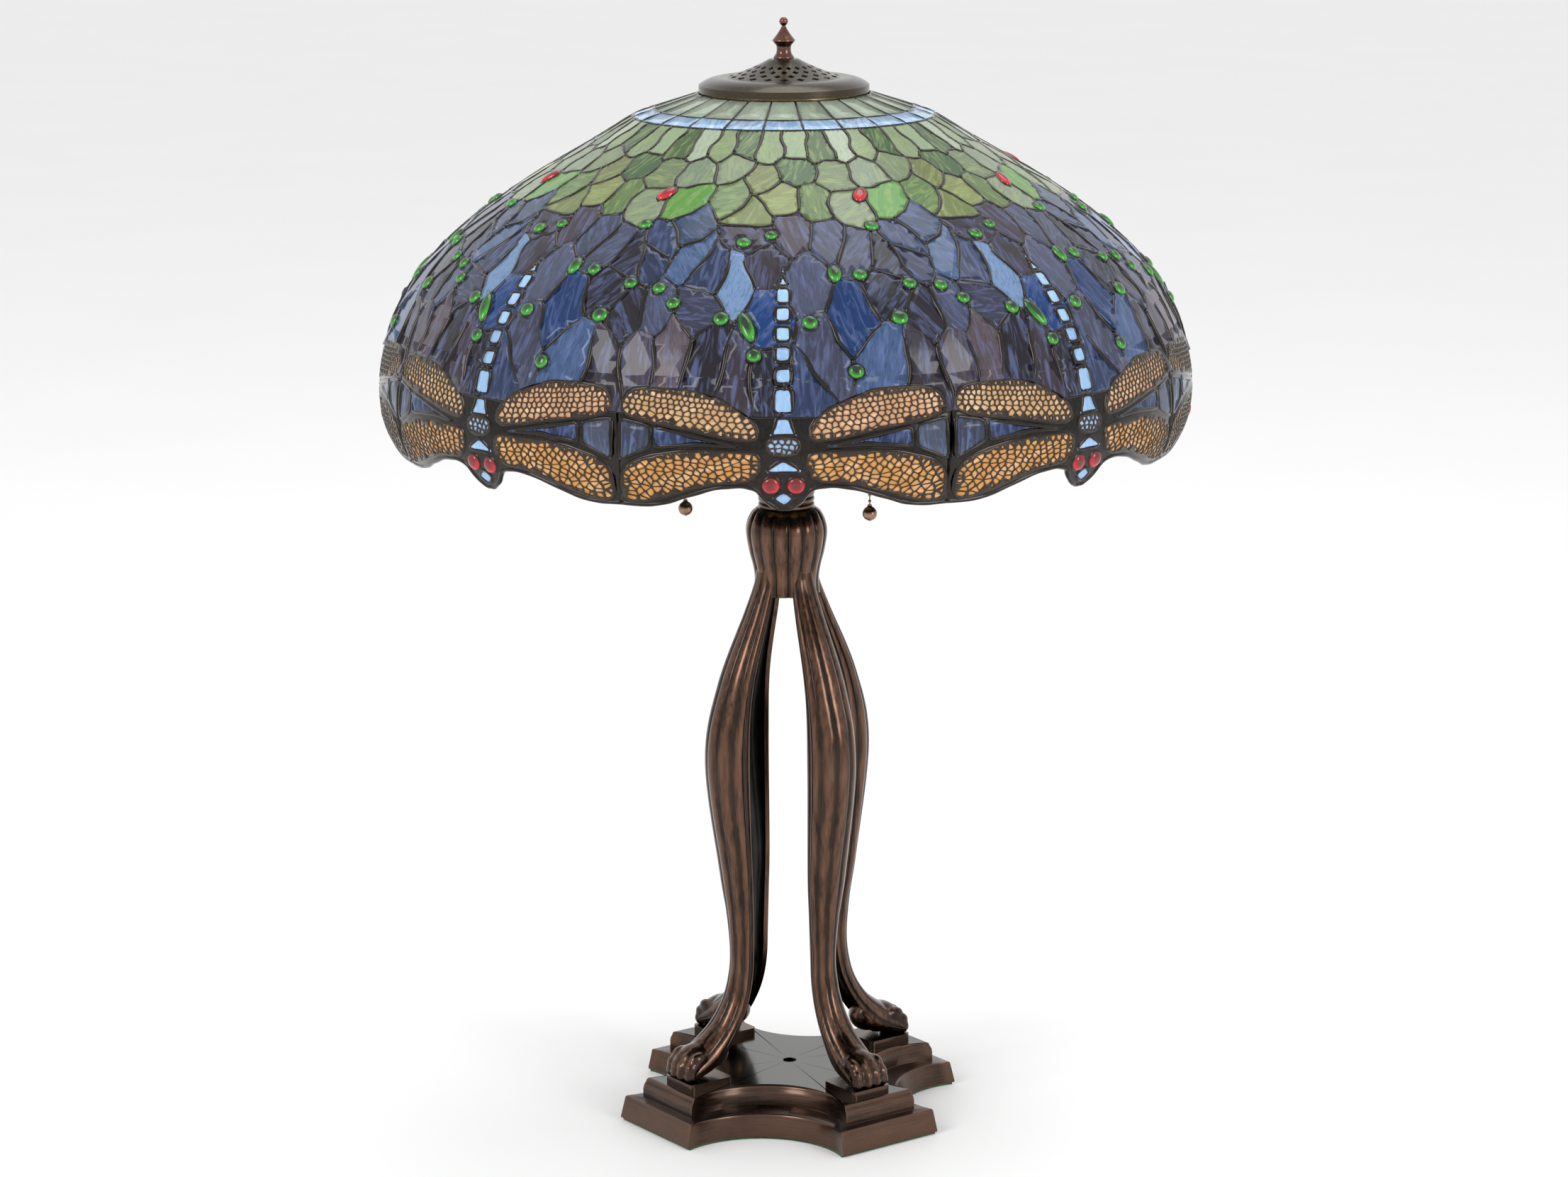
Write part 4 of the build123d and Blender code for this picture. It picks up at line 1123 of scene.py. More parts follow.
                    following = b if a == line[-2] else a
                    done.add((min(line[-1], following), max(line[-1], following)))
                    line.append(following)
                closes = line[-1] == start and len(line) > 3 and len(links[start]) == 2
                lines.append((line[:-1] if closes else line, closes,
                              self.edge_width[(min(line[0], line[1]), max(line[0], line[1]))]))
        return lines

    @staticmethod
    def _evened(p: np.ndarray, closed: bool, step: float) -> np.ndarray:
        """The line with evenly spaced points."""
        if closed:
            p = np.vstack((p, p[:1]))
        length = np.concatenate(([0], np.cumsum(np.hypot(*np.diff(p, axis=0).T))))
        count = max(2, int(length[-1] / step) + 1)
        at = np.linspace(0, length[-1], count + (1 if closed else 0))
        p = np.column_stack((np.interp(at, length, p[:, 0]), np.interp(at, length, p[:, 1])))
        return p[:-1] if closed else p

    def _solder(self, piece: Piece, line: Outline, closed: bool, width: float) -> None:
        """Add one rounded solder line.

        Args:
            piece: The piece that takes it.
            line: Its places on the map.
            closed: Whether it closes.
            width: Width as a share of the usual one.
        """
        p = self._evened(np.array(line, float), closed, 1.5)
        for _ in range(3):
            q = (np.roll(p, 1, 0) + 2 * p + np.roll(p, -1, 0)) / 4
            if not closed:
                q[0], q[-1] = p[0], p[-1]
            p = q
        p = self._evened(p, closed, 3.0 / self.dome.scale(tuple(p[len(p) // 2])))
        if len(p) < 2:
            return
        half = self.dome.lead / 2
        middle = self.dome.solid(p, half, self.turn)
        ups = self.dome.up(p, self.turn)
        wave = self.rng.uniform(0, 9)
        half_w = [self.lead_half * width * (1 + 0.13 * math.sin(0.9 * k + wave)
                                            + self.rng.uniform(-0.07, 0.07)) for k in range(len(p))]
        half_h = [half * self.rng.uniform(0.93, 1.0) for _ in p]
        made = swept(middle, ups, half_w, half_h, 8, closed and len(p) > 3)
        piece.add(made.points, made.faces)

    def leads(self) -> None:
        """Make the solder lines, their knots, the rim and the metal round the wings."""
        piece = Piece()
        for line, closed, width in self._borders():
            self._solder(piece, [self.spots[v] for v in line], closed, width)
        half = self.dome.lead / 2
        for knot in self.knots:
            spot = self.spots[knot]
            centre = self.dome.solid([spot], half, self.turn)[0]
            up = self.dome.up([spot], self.turn)[0]
            self._blob(piece, centre, up, self.rng.uniform(1.6, 2.3), half * 0.99)
        fill = [f for f, o in zip(self.triangles, self.owners) if self.patches[o].kind is Kind.LEAD]
        used = sorted({v for face in fill for v in face})
        place = {v: k for k, v in enumerate(used)}
        spots = [self.spots[v] for v in used]
        n = len(used)
        front = [tuple(place[v] for v in face) for face in fill]
        outer = self.dome.solid(spots, self.dome.lead - 0.9, self.turn).tolist()
        inner = self.dome.solid(spots, 0.9, self.turn).tolist()
        piece.add(outer + inner, front + [tuple(v + n for v in reversed(f)) for f in front])
        right = [self.dome.flat(a, h + 0.9) for a, h in flowing(RIM, 6)]
        edge = list(reversed(mirrored(right)))[:-1] + right
        middle = self.dome.solid(edge, half, self.turn)
        ups = self.dome.up(edge, self.turn)
        made = swept(middle, ups, [1.7 + 0.2 * math.sin(k) for k in range(len(edge))],
                     [half] * len(edge), 8)
        piece.add(made.points, made.faces)
        piece.repeated(self.count).make("solder_lines", Finish.LEAD, GLASS_BODY, "lead_patina",
                                        ("shade_leads",))

    def _blob(self, piece: Piece, centre: np.ndarray, up: np.ndarray, width: float,
              height: float) -> None:
        """Add a flattened drop of solder."""
        side = np.cross(up, (0.3, 0.2, 1.0))
        side /= np.linalg.norm(side)
        other = np.cross(up, side)
        points, rows = [], []
        for t in (-90, -45, 0, 45, 90):
            c, s = math.cos(math.radians(t)), math.sin(math.radians(t))
            if c < 0.01:
                rows.append([len(points)])
                points.append((centre + up * s * height).tolist())
                continue
            rows.append(list(range(len(points), len(points) + 8)))
            for k in range(8):
                a = math.pi * k / 4
                points.append((centre + up * s * height
                               + (side * math.cos(a) + other * math.sin(a)) * c * width).tolist())
        piece.add(points, bridged(rows, closed=True))

    def lace(self) -> None:
        """Make the pierced metal over the wings and the shoulders."""
        piece = Piece()
        for side in (lambda o: o, mirrored):
            self._pierced(piece, closed_curve(self._placed(side(UPPER_WING))), 3.3, 3.3, 7.6)
            self._pierced(piece, closed_curve(self._placed(side(LOWER_WING))), 2.9, 5.6, 7.6)
        self._pierced(piece, closed_curve(self._placed(BODY_SPOTS[0])), 3.0, 4.0, 4.0)
        piece.repeated(self.count).make("wing_lace", Finish.FILIGREE, GLASS_BODY, "filigree_bronze",
                                        ("wing_filigree",))

    def _pierced(self, piece: Piece, outline: Outline, pitch: float, short: float,
                 long: float) -> None:
        """Add a pierced sheet with rows of cells.

        Args:
            piece: The piece that takes it.
            outline: The sheet's outline on the map.
            pitch: Distance between rows.
            short: Length of the cells of the highest rows.
            long: Length of the cells of the lowest rows.
        """
        ys = [y for _, y in outline]
        xs = [x for x, _ in outline]
        seeds = []
        rows = max(2, round((max(ys) - min(ys)) / pitch))
        sway = (max(xs) + min(xs)) / 2
        for row in range(rows + 1):
            share = 1 - row / rows
            step = short + (long - short) * share ** 1.5
            x = min(xs) + self.rng.uniform(0, step)
            while x < max(xs):
                y = min(ys) + row * (max(ys) - min(ys)) / rows
                tilt = 0.10 * (x - sway) * (1 if sway > 0 else -1)
                spot = (x, y + tilt + self.rng.uniform(-0.16, 0.16) * pitch)
                if inside(outline, spot):
                    seeds.append(spot)
                x += step * self.rng.uniform(0.75, 1.25)
        faces, spots = [list(range(len(outline)))], list(anticlockwise(outline))
        for seed in seeds:
            reach = long * 2
            cell = [(seed[0] + dx, seed[1] + dy) for dx,
                    dy in ((-reach, -reach), (reach, -reach), (reach, reach), (-reach, reach))]
            for other in seeds:
                if other is not seed and abs(other[0] - seed[0]) + abs(other[1] - seed[1]) < 3 * long:
                    cell = clip(cell, seed, other)
            for x, y in outline:
                if abs(x - seed[0]) + abs(y - seed[1]) < 2 * long:
                    cell = clip(cell, seed, (2 * x - seed[0], 2 * y - seed[1]))
            for share in HOLE_SHARES:
                hole = self._shrunk(cell, seed, share, HOLE_WALL)
                margin = self._shrunk(cell, seed, share, HOLE_MARGIN) or hole
                if hole and all(inside(outline, spot) for spot in margin):
                    faces.append(list(range(len(spots), len(spots) + len(hole))))
                    spots += hole
                    break
        made = delaunay_2d_cdt([Vector(s) for s in spots], [], faces, 1, 1e-4)
        metal = [tuple(f) for f, owner in zip(made[2], made[5]) if list(owner) == [0]]
        used = sorted({v for face in metal for v in face})
        place = {v: k for k, v in enumerate(used)}
        kept = [(made[0][v].x, made[0][v].y) for v in used]
        front = [tuple(place[v] for v in face) for face in metal]
        n = len(used)
        edges = {(f[k], f[(k + 1) % 3]) for f in front for k in range(3)}
        walls = [(b, a, a + n, b + n) for a, b in edges if (b, a) not in edges]
        top = self.dome.solid(kept, self.dome.lead - 0.05, self.turn).tolist()
        low = self.dome.solid(kept, self.glass_out - 0.2, self.turn).tolist()
        piece.add(top + low, front + walls)

    @staticmethod
    def _shrunk(cell: Outline, seed: Point, share: float, wall: float) -> Outline:
        """Cell made smaller about its seed, with cut corners; empty if too small."""
        result = []
        for x, y in cell:
            d = math.hypot(x - seed[0], y - seed[1])
            k = max(0.0, share - wall / max(d, 0.1) * HOLE_TAPER)
            result.append((seed[0] + (x - seed[0]) * k, seed[1] + (y - seed[1]) * k))
        if len(result) < 3:
            return []
        cut = []
        for k, (x, y) in enumerate(result):
            nx, ny = result[(k + 1) % len(result)]
            for along in (HOLE_CORNER, 1 - HOLE_CORNER):
                cut.append((x + (nx - x) * along, y + (ny - y) * along))
        return anticlockwise(cut) if abs(area(cut)) > LEAST_HOLE else []

    def jewels(self) -> None:
        """Make the green jewels, the red ones and the eyes."""
        rings = ((1.0, -0.3), (1.0, 0.18), (0.95, 0.42), (0.84, 0.64), (0.68, 0.81), (0.48, 0.92),
                 (0.24, 0.985))
        for table, name, finish, slot, node in (
            (GREEN_SPOTS, "green_cabochons", Finish.GREEN, "jewel_green", "green_jewels"),
            (RED_SPOTS, "red_cabochons", Finish.RED, "jewel_red", "red_jewels"),
        ):
            piece = Piece()
            for spot in table:
                outline = np.array(self._oval(spot, 28))
                middle = outline.mean(0)
                points, rows, tints = [], [], []
                for share, rise in rings:
                    rows.append(list(range(len(points), len(points) + len(outline))))
                    ring = middle + (outline - middle) * share
                    points += self.dome.solid(ring, self.glass_out - 0.6 + rise * self.rise,
                                              self.turn).tolist()
                    # Painted refracted light: the tint rises towards the rim and is highest on the lower
                    # side; the tip stays dark.
                    for k in range(len(outline)):
                        low = -math.sin(2 * math.pi * k / len(outline))
                        level = share ** 2.2 * (0.52 + 0.48 * low)
                        tints.append((max(0.0, min(1.0, level)),) * 3)
                rows.append([len(points)])
                points += self.dome.solid([middle], self.glass_out - 0.6 + self.rise,
                                          self.turn).tolist()
                tints.append((0.0, 0.0, 0.0))
                piece.add(points, bridged(rows, closed=True) + [tuple(reversed(rows[0]))])
                piece.tints.extend(tints)
            piece.repeated(self.count).make(name, finish, GLASS_BODY, slot, (node,))

    def build(self) -> None:
        """Make everything of the leaded dome."""
        self.panes()
        self.leads()
        self.lace()
        self.jewels()


# ------------------------------------------------------------------ stand
@dataclass
class Plinth:
    """Two-tier base with hollowed sides and a polished top plate."""

    foot: float = 1.5
    ledge: float = 17.6
    top: float = 31.5
    lower: tuple[float, float, float] = (125.0, 19.35, 81.4)
    upper: tuple[float, float, float] = (110.5, 15.6, 59.0)
    hole: float = 4.5

    def _outline(self, size: tuple[float, float, float], inset: float, height: float) -> list:
        """Ring of points round one tier.

        Args:
            size: Centre to corner, half angle of a corner face, centre to a hollowed side.
            inset: How far inside that outline.
            height: Its height.

        Returns:
            The points, from one corner face round.
        """
        reach, span, waist = size[0] - inset, size[1], size[2] - inset
        ring = []
        for quarter in range(4):
            middle = 45 + 90 * quarter
            ends = []
            for side in (-span, span):
                a = math.radians(middle + side)
                ends.append((reach * math.cos(a), reach * math.sin(a)))
            nxt = math.radians(middle + 90 - span)
            goal = (reach * math.cos(nxt), reach * math.sin(nxt))
            a = math.radians(middle + 45)
            hollow = (waist * math.cos(a), waist * math.sin(a))
            for t in (0.0, 0.012, 0.03, 0.15, 0.35, 0.5, 0.65, 0.85, 0.97, 0.988):
                ring.append((ends[0][0] + (ends[1][0] - ends[0][0]) * t,
                             ends[0][1] + (ends[1][1] - ends[0][1]) * t))
            ring += self._arc(ends[1], hollow, goal, 26)[:-1]
        return [(x, y, height) for x, y in ring]

    @staticmethod
    def _arc(start: Point, through: Point, end: Point, count: int) -> Outline:
        """Points of the circle through three points."""
        (ax, ay), (bx, by), (cx, cy) = start, through, end
        d = 2 * (ax * (by - cy) + bx * (cy - ay) + cx * (ay - by))
        ux = ((ax * ax + ay * ay) * (by - cy) + (bx * bx + by * by) * (cy - ay)
              + (cx * cx + cy * cy) * (ay - by)) / d
        uy = ((ax * ax + ay * ay) * (cx - bx) + (bx * bx + by * by) * (ax - cx)
              + (cx * cx + cy * cy) * (bx - ax)) / d
        radius = math.hypot(ax - ux, ay - uy)
        a0, a1 = math.atan2(ay - uy, ax - ux), math.atan2(cy - uy, cx - ux)
        turn = (a1 - a0 + math.pi) % (2 * math.pi) - math.pi
        return [(ux + radius * math.cos(a0 + turn * k / count),
                 uy + radius * math.sin(a0 + turn * k / count)) for k in range(count + 1)]

    def build(self) -> None:
        """Make the tiers and the plate."""
        f, l, t = self.foot, self.ledge, self.top
        rings = [self._outline(self.lower, d, z) for d, z in (
            (6.0, f), (0.8, f), (0.15, f + 0.4), (0.0, f + 1.0), (3.4, l - 1.6), (3.7, l - 0.8),
            (4.3, l - 0.25), (5.2, l))]
        rings += [self._outline(self.upper, d, z) for d, z in (
            (-0.4, l), (0.0, l + 0.3), (0.0, t - 7.5), (0.5, t - 5.2), (1.5, t - 3.4),
            (2.2, t - 2.6), (2.4, t - 1.7), (3.0, t - 0.7), (4.2, t - 0.1), (5.0, t))]
        piece = Piece()
        count = len(rings[0])
        rows = [list(range(k * count, (k + 1) * count)) for k in range(len(rings))]
        piece.add([p for ring in rings for p in ring], bridged(rows, closed=True))
        piece.make("plinth_tiers", Finish.BASE, "root", "base_bronze", ("base_plinth",), crease=38)
        plate = Piece()
        edge = rings[-1]
        points, levels = list(edge), [list(range(count))]
        for share in (0.75, 0.4):
            levels.append(list(range(len(points), len(points) + count)))
            points += [(x * share, y * share, t) for x, y, _ in edge]
        for radius, z in ((self.hole + 0.5, t), (self.hole, t - 0.5), (self.hole, t - 4.5)):
            levels.append(list(range(len(points), len(points) + count)))
            points += [(radius * x / math.hypot(x, y), radius * y / math.hypot(x, y), z) for x, y,
                       _ in edge]
        plate.add(points, bridged(levels, closed=True))
        plate.make("plinth_plate", Finish.PLATE, "root", "base_bronze", crease=30)


@dataclass
class Legs:
    """Two castings, each with two reeded legs on paws and half of the fluted bulb."""

    sole: float = 36.2
    wall: float = 3.0
    opening: float = 116.0
    neck: float = 434.0
    web: float = 388.2
    stations: tuple[tuple[float, float, float, float], ...] = (
        (5.0, 92.0, 15.0, 8.0), (14.5, 73.6, 15.0, 11.5), (29.0, 58.6, 12.8, 9.7),
        (46.0, 47.8, 11.0, 9.0),
        (64.0, 42.2, 9.9, 8.9), (84.0, 40.4, 9.3, 9.0), (112.0, 41.8, 11.4, 9.5),
        (144.0, 45.3, 15.0, 10.5), (223.0, 51.5, 18.0, 15.5), (274.0, 44.8, 16.0, 11.0),
        (324.0, 26.5, 11.3, 7.0), (345.0, 19.6, 9.4, 5.2), (356.0, 18.0, 8.6, 5.0),
    )

    def build(self) -> None:
        """Make both castings."""
        for name, node, middle in (("front_casting", "front_legs", 0.0),
                                   ("rear_casting", "rear_legs", 180.0)):
            piece, lining = Piece(), Piece()
            for side in (-45.0, 45.0):
                self._leg(piece, lining, middle + side)
                self._paw(piece, middle + side)
            self._bulb(piece, middle)
            piece.make(name, Finish.LEG, "root", "leg_bronze", (node,), crease=50)
            lining.make(name + "_inside", Finish.INSIDE, "root", "leg_bronze")

    def _section(self, azimuth: float, r: float, z: float, n: Point, u: float,
                 v: float) -> tuple[float, float, float]:
        """Point u aside and v outwards from a place on a leg's middle line."""
        out, high = r + n[0] * v, z + n[1] * v
        dx, dy = direction(azimuth)
        return (out * dx - u * dy, out * dy + u * dx, high)

    def _leg(self, piece: Piece, lining: Piece, azimuth: float) -> None:
        """Add one leg.

        Args:
            piece: Takes the reeded outside.
            lining: Takes the plain inside.
            azimuth: Where the leg stands.
        """
        line = flowing(self.stations, 9)
        half = 48
        outer, ridges, inner = [], [], []
        for k, (h, r, hw, hd) in enumerate(line):
            before, after = line[max(k - 1, 0)], line[min(k + 1, len(line) - 1)]
            dr, dz = after[1] - before[1], after[0] - before[0]
            size = math.hypot(dr, dz)
            n = (dz / size, -dr / size)
            depth = 0.062 * hw * min(1.0, max(0.25, (356 - h) / 30)) * min(1.0, max(0.4, h / 30))
            for j in range(2 * half + 1):
                t = j / half - 1
                phi = math.radians(self.opening) * t
                reed = abs(math.cos(math.pi * 3.0 * t)) ** 0.6
                cut = depth * (1 - reed)
                u, v = (hw - cut) * math.sin(phi), (hd - cut) * math.cos(phi)
                outer.append(self._section(azimuth, r, self.sole + h, n, u, v))
                ridges.append((reed * (0.75 + 0.25 * (h > 14)),) * 3)
            for j in range(25):
                phi = math.radians(self.opening - 4) * (j / 12 - 1)
                u, v = max(1.5, hw - self.wall) * math.sin(phi), max(1.2,
                                                                     hd - self.wall) * math.cos(phi)
                inner.append(self._section(azimuth, r, self.sole + h, n, u, v))
        wide = 2 * half + 1
        rows = [list(range(k * wide, (k + 1) * wide)) for k in range(len(line))]
        piece.add(outer, bridged(rows, closed=False))
        piece.tints.extend(ridges)
        lips = Piece()
        for edge, inside_edge in ((0, 0), (wide - 1, 24)):
            points, faces = [], []
            for k in range(len(line)):
                points += [outer[k * wide + edge], inner[k * 25 + inside_edge]]
            for k in range(len(line) - 1):
                quad = (2 * k, 2 * k + 2, 2 * k + 3, 2 * k + 1)
                faces.append(quad if edge == 0 else tuple(reversed(quad)))
            lips.add(points, faces)
        piece.add(lips.points, lips.faces, (0.9, 0.9, 0.9))
        rows = [list(reversed(range(k * 25, (k + 1) * 25))) for k in range(len(line))]
        lining.add(inner, bridged(rows, closed=False))

    def _paw(self, piece: Piece, azimuth: float) -> None:
        """Add one paw with four toes, melted together from rounded lumps."""
        lumps = [(80.0, 0.0, 12.5, 15.0, 14.4, 11.5), (70.0, 0.0, 16.0, 14.0, 13.4, 12.0),
                 (88.0, 0.0, 9.5, 10.5, 14.6, 9.8)]
        for k in (-1.5, -0.5, 0.5, 1.5):
            reach = 97.0 - 1.6 * abs(k)
            lumps += [(reach - 8.5, k * 7.0, 15.0, 8.0, 4.3, 5.6),
                      (reach - 2.5, k * 7.2, 9.4, 6.2, 4.3, 5.6),
                      (reach - 1.0, k * 7.3, 4.8, 5.2, 4.4, 5.2)]
        blob = Piece()
        dx, dy = direction(azimuth)
        for r, u, h, length, width, height in lumps:
            points, rows = [], []
            for t in range(-90, 91, 15):
                c, s = math.cos(math.radians(t)), math.sin(math.radians(t))
                ring = [0.0] if c < 0.01 else [math.radians(15 * k) for k in range(24)]
                rows.append(list(range(len(points), len(points) + len(ring))))
                for a in ring:
                    out, side = r + length * c * math.cos(a), u + width * c * math.sin(a)
                    points.append((out * dx - side * dy, out * dy + side * dx,
                                   self.sole + h + height * s))
            blob.add(points, bridged(rows, closed=True))
        mesh = bpy.data.meshes.new("lumps")
        mesh.from_pydata((np.array(blob.points) * MM).tolist(), [], blob.faces)
        held = bpy.data.objects.new("lumps", mesh)
        bpy.context.scene.collection.objects.link(held)
        melt = held.modifiers.new("melt", "REMESH")
        melt.mode, melt.voxel_size = "VOXEL", 0.0011
        ease = held.modifiers.new("ease", "SMOOTH")
        ease.factor, ease.iterations = 0.5, 5
        made = bpy.data.meshes.new_from_object(held.evaluated_get(bpy.context.evaluated_depsgraph_get()))
        points = [(v.co.x / MM, v.co.y / MM, max(self.sole, v.co.z / MM)) for v in made.vertices]
        piece.add(points, [tuple(p.vertices) for p in made.polygons])
        middle = self.sole + 9
        for x, y, z in points:
            u = -x * dy + y * dx
            crest = 0.5 + 0.5 * math.cos(2 * math.pi * (u / 7.2 + 0.5))
            level = 0.25 + 0.55 * crest * (z > self.sole + 3) + 0.25 * (z > middle)
            piece.tints.append((min(1.0, level),) * 3)
        bpy.data.objects.remove(held)

    def _bulb(self, piece: Piece, middle: float) -> None:
        """Add half of the fluted bulb, with its floor."""
        shape = flowing([(20.5, self.neck), (24.5, 430.5), (27.6, 424), (28.5, 416), (26.6, 404),
                         (23.8, 393), (22.6, 384), (23.2, 374)], 6)
        steps = 128
        points, rows, levels = [], [], []

        def ring(radius: float, height: float, fluted: bool) -> None:
            """Add one half ring."""
            rows.append(list(range(len(points), len(points) + steps + 1)))
            for k in range(steps + 1):
                azimuth = middle - 90 + 180 * k / steps
                reed = abs(math.cos(math.radians(8 * azimuth))) ** 0.55
                near = abs((azimuth - 45) % 90 - 45) / 45
                r = radius - (0.055 * radius * (1 - reed) * min(1.0,
                        (self.neck - height) / 6 + 0.15) if fluted else 0)
                lift = max(0.0, self.web - 4.0 - height) * min(1.0,
                                                               max(0.0, 1.25 - 2.6 * (1 - near)))
                dx, dy = direction(azimuth)
                points.append((r * dx, r * dy, height + (lift if fluted else 0)))
                levels.append((reed if fluted else 0.1,) * 3)

        for radius, height in reversed(shape):
            ring(radius, height, True)
        ring(6.6, self.neck, False)
        outer = bridged(rows, closed=False)
        piece.add(points, outer)
        piece.tints.extend(levels)
        points, rows, levels = [], [], []
        for radius, height in ((6.6, self.web), (18.6, self.web), (18.6, 376.0), (22.8, 376.0)):
            rows.append(list(range(len(points), len(points) + 65)))
            for k in range(65):
                dx, dy = direction(middle - 90 + 180 * k / 64)
                lift = (self.web - 4.0 - height) if height < 380 and abs(((middle - 90
                        + 180 * k / 64) - 45) % 90 - 45) > 27 else 0
                points.append((radius * dx, radius * dy, height + lift))
        piece.add(points, bridged(rows, closed=False), (0.1, 0.1, 0.1))


@dataclass
class Trim:
    """Ringed neck, finial and pull balls."""

    neck: float = 434.0
    finial: float = 744.3
    chain: float = 74.0
    places: tuple[float, float, float] = (-61.0, 59.0, 179.0)

    def build(self) -> None:
        """Make the turned pieces."""
        rings = [(6.5, self.neck), (18.9, self.neck)]
        for k in range(7):
            z = self.neck + 4.2 * k
            rings += [(18.5, z + 0.15), (18.9, z + 0.4), (19.45, z + 1.0), (19.6, z + 2.1),
                      (19.45, z + 3.2), (18.9, z + 3.8), (18.5, z + 4.05)]
        rings += [(18.3, self.neck + 29.4), (6.5, self.neck + 29.4)]
        spun(rings, 72).make("neck_rings", Finish.NECK, "root", "leg_bronze", ("neck_collar",),
                             crease=50)
        z = self.finial
        shape = flowing([(7.05, z + 0.9), (6.4, z + 1.9), (5.3, z + 3.6), (4.9, z + 6.0),
                         (5.2, z + 8.6), (6.6, z + 10.4),
                         (7.85, z + 12.0), (7.0, z + 13.4), (4.9, z + 16.0), (2.6, z + 19.4),
                         (1.5, z + 21.4), (1.4, z + 22.1)], 5)
        ball = [(3.0 * math.sin(math.radians(t)), z + 24.9 - 3.0 * math.cos(math.radians(t)))
                for t in range(30, 180, 10)]
        outline = [(3.4, z), (6.9, z), (7.05, z + 0.3), *shape, *ball, (0, z + 27.9)]
        spun(outline, 56).make("finial_turned", Finish.FINIAL, "finial", "finial_copper",
                               ("finial",), crease=60)
        for number, azimuth in enumerate(self.places, 1):
            dx, dy = direction(azimuth)
            low = 444.85
            curve = [(5.0 * math.sin(math.radians(t)), low - 6.5 - 5.0 * math.cos(math.radians(t)))
                     for t in range(12, 158, 8)]
            outline = [(0, low - 11.9), (0.7, low - 11.7), (1.0, low - 11.3), *curve,
                       (1.75, low - 1.4), (1.3, low - 0.6), (1.3, low), (0, low)]
            spun(outline, 32, (self.chain * dx, self.chain * dy)).make(
                f"pull_ball_{number}", Finish.CHAIN, f"chain_end_{number}", "chain_bronze",
                (f"chain_ball_{number}",), crease=60)


# ------------------------------------------------------------------ small turned pieces
def numbered(*stems: str) -> tuple[str, ...]:
    """Names of the nodes that come once for each of the three sockets."""
    return tuple(f"{stem}_{k}" for stem in stems for k in (1, 2, 3))


KEPT: dict[Finish, tuple[str, ...]] = {
    Finish.FELT: ("baize_pad",),
    Finish.IRON: ("ballast_plate",),
    Finish.STEEL: ("ballast_screws", "paw_screws", "stem_washer", "stem_nut", "cluster_nut",
                   "seat_nut"),
    Finish.NECK: ("paw_spacers",),
    Finish.PLASTIC: ("cord_bushing",),
    Finish.BRASS: ("stem_pipe", "cluster_body", "shade_seat", "finial_stud", "shade_wheel",
                   "centre_contacts",
                   *numbered("arm", "socket_cup", "socket_shell", "bulb_cap")),
    Finish.CHAIN: numbered("chain_link", "chain_drop"),
    Finish.FIBRE: ("socket_liners",),
    Finish.ALUMINIUM: ("screw_shells",),
    Finish.FROSTED: numbered("bulb_glass"),
    Finish.CAP: ("vented_cap",),
}


def dress(nodes: dict[str, bpy.types.Object]) -> None:
    """Give the kept nodes their finishes.

    Args:
        nodes: Every node by name.
    """
    for finish, names in KEPT.items():
        for name in names:
            for slot in nodes[name].material_slots:
                slot.material = finish.made()
            LOG.info("%s: %s", name, finish.value.name)


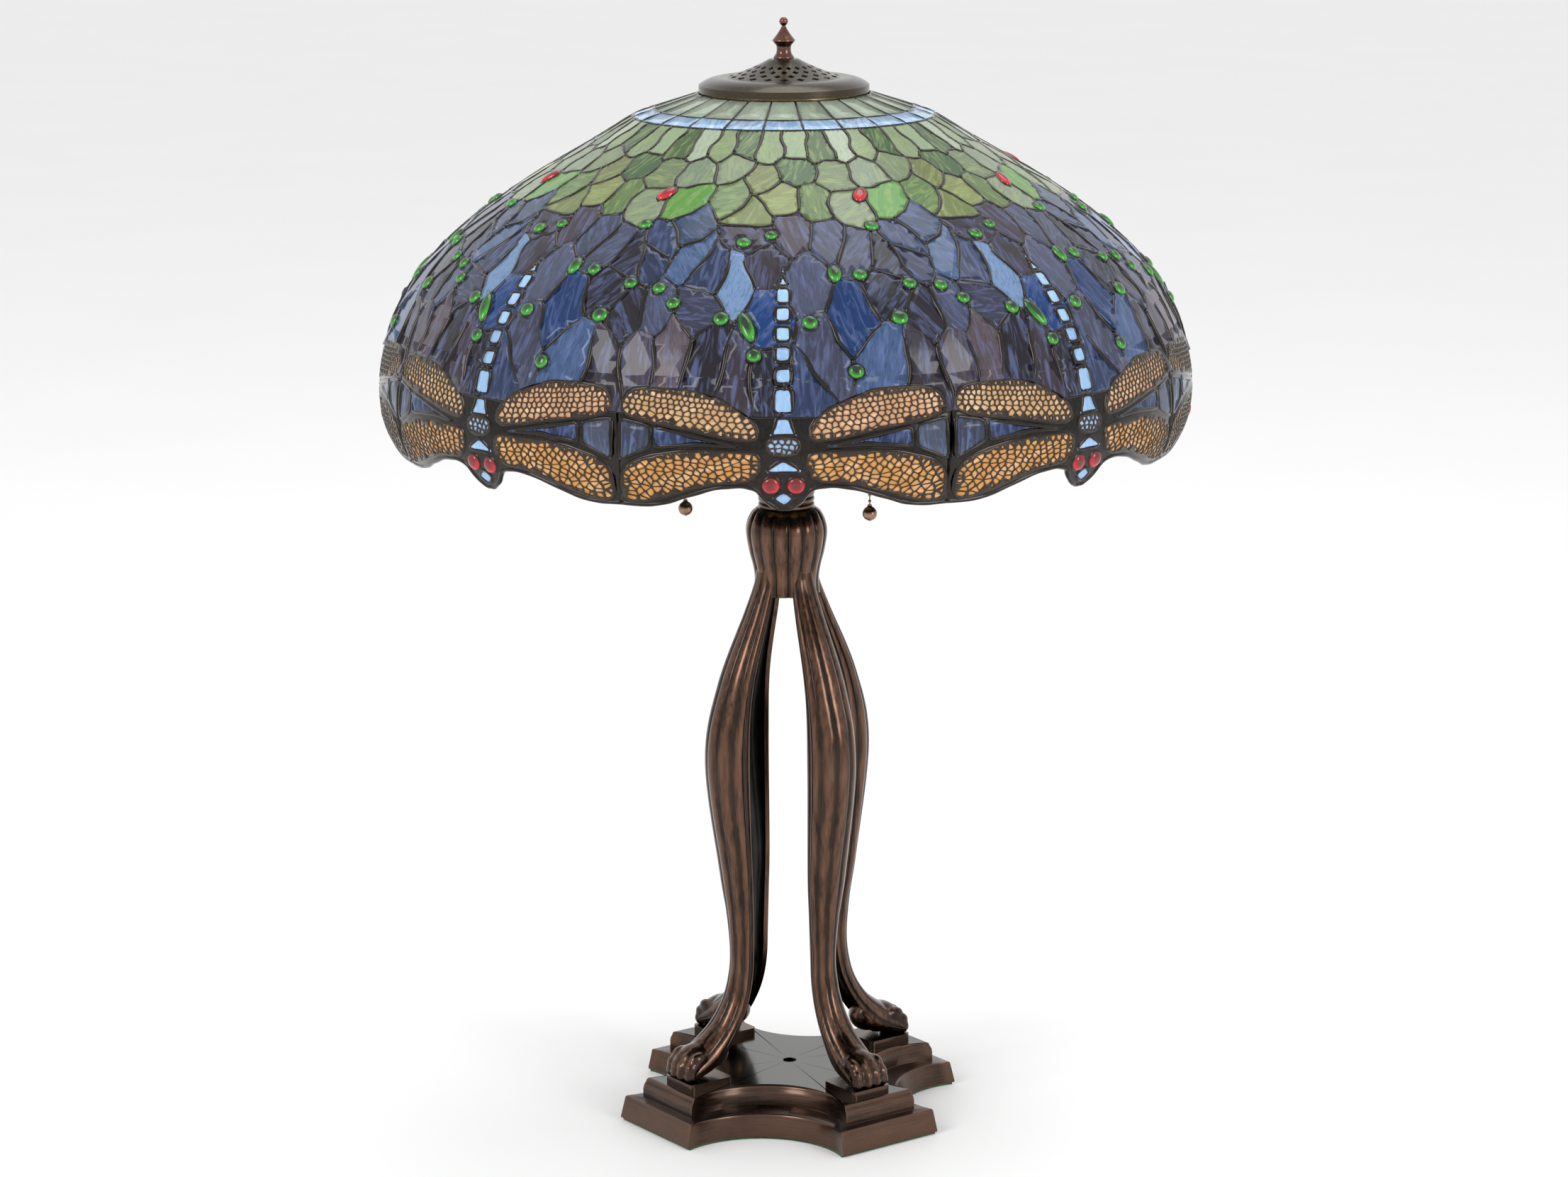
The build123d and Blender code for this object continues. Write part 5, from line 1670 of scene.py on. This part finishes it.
@dataclass
class Studio:
    """Pale floor, soft lights and the camera."""

    distance: float = 2.9134
    height: float = 1.0122
    azimuth: float = 8.69
    pitch: float = 12.32
    roll: float = -0.33
    aside: float = 0.00196
    lens: float = 98.2

    def build(self) -> None:
        """Make the floor, the lights and the camera."""
        self._floor()
        self._lights()
        self._camera()

    def _floor(self) -> None:
        """Pale floor with a faint grain."""
        mesh = bpy.data.meshes.new("floor")
        mesh.from_pydata([(-12, -12, 0), (12, -12, 0), (12, 12, 0), (-12, 12, 0)], [],
                         [(0, 1, 2, 3)])
        floor = bpy.data.objects.new("floor", mesh)
        bpy.context.scene.collection.objects.link(floor)
        g = Graph("floor_white")
        grain = g.noise(g.stretched((1, 1, 1)), 3.0)
        tone = g.ramp(grain, ((0.2, (0.86, 0.86, 0.86)), (0.8, (0.88, 0.88, 0.88))))
        floor.data.materials.append(g.surface({"Base Color": tone, "Roughness": 0.6,
                                               "Specular IOR Level": 0.2}))

    def _lights(self) -> None:
        """Large soft lights and a pale surround."""
        world = bpy.data.worlds.new("surround")
        world.use_nodes = True
        sky = world.node_tree.nodes["Background"]
        sky.inputs["Color"].default_value = (1.0, 1.0, 1.0, 1.0)
        sky.inputs["Strength"].default_value = 0.95
        bpy.context.scene.world = world
        bpy.context.scene.view_settings.view_transform = "Standard"
        for name, place, size, power in (
            ("key", (-1.9, -2.3, 2.3), (1.3, 1.6), 44.0),
            ("fill", (2.3, -1.6, 1.5), (0.9, 1.7), 30.0),
            ("top", (0.3, 0.6, 3.0), (2.0, 1.4), 22.0),
        ):
            lamp = bpy.data.lights.new(name, "AREA")
            lamp.shape = "RECTANGLE"
            lamp.size, lamp.size_y = size
            lamp.energy = power
            held = bpy.data.objects.new(name, lamp)
            held.location = place
            aim = Vector((0, 0, 0.5)) - Vector(place)
            held.rotation_euler = aim.to_track_quat("-Z", "Y").to_euler()
            bpy.context.scene.collection.objects.link(held)

    def _camera(self) -> None:
        """Camera a little above the lamp, looking down at it."""
        view = bpy.data.cameras.new("camera")
        view.lens, view.sensor_width = self.lens, 36.0
        held = bpy.data.objects.new("camera", view)
        a = math.radians(self.azimuth)
        turn = (Matrix.Rotation(a, 3, "Z") @ Matrix.Rotation(math.radians(90 - self.pitch), 3, "X")
                @ Matrix.Rotation(math.radians(self.roll), 3, "Z"))
        place = Vector((self.distance * math.sin(a), -self.distance * math.cos(a), self.height))
        held.matrix_world = Matrix.Translation(place - turn @ Vector((self.aside, 0,
                                                                      0))) @ turn.to_4x4()
        bpy.context.scene.collection.objects.link(held)
        bpy.context.scene.camera = held


def main() -> None:
    """Build the lamp's looks, piece by piece."""
    logging.basicConfig(level=logging.INFO, format="%(message)s")
    dome = Dome(rim=485.0, belly=279.4, height=237.0)
    Shade(dome, turn=8.3).build()
    Plinth().build()
    Legs().build()
    Trim().build()
    dress(frame["nodes"])
    Studio().build()


if __name__ == "__main__":
    main()
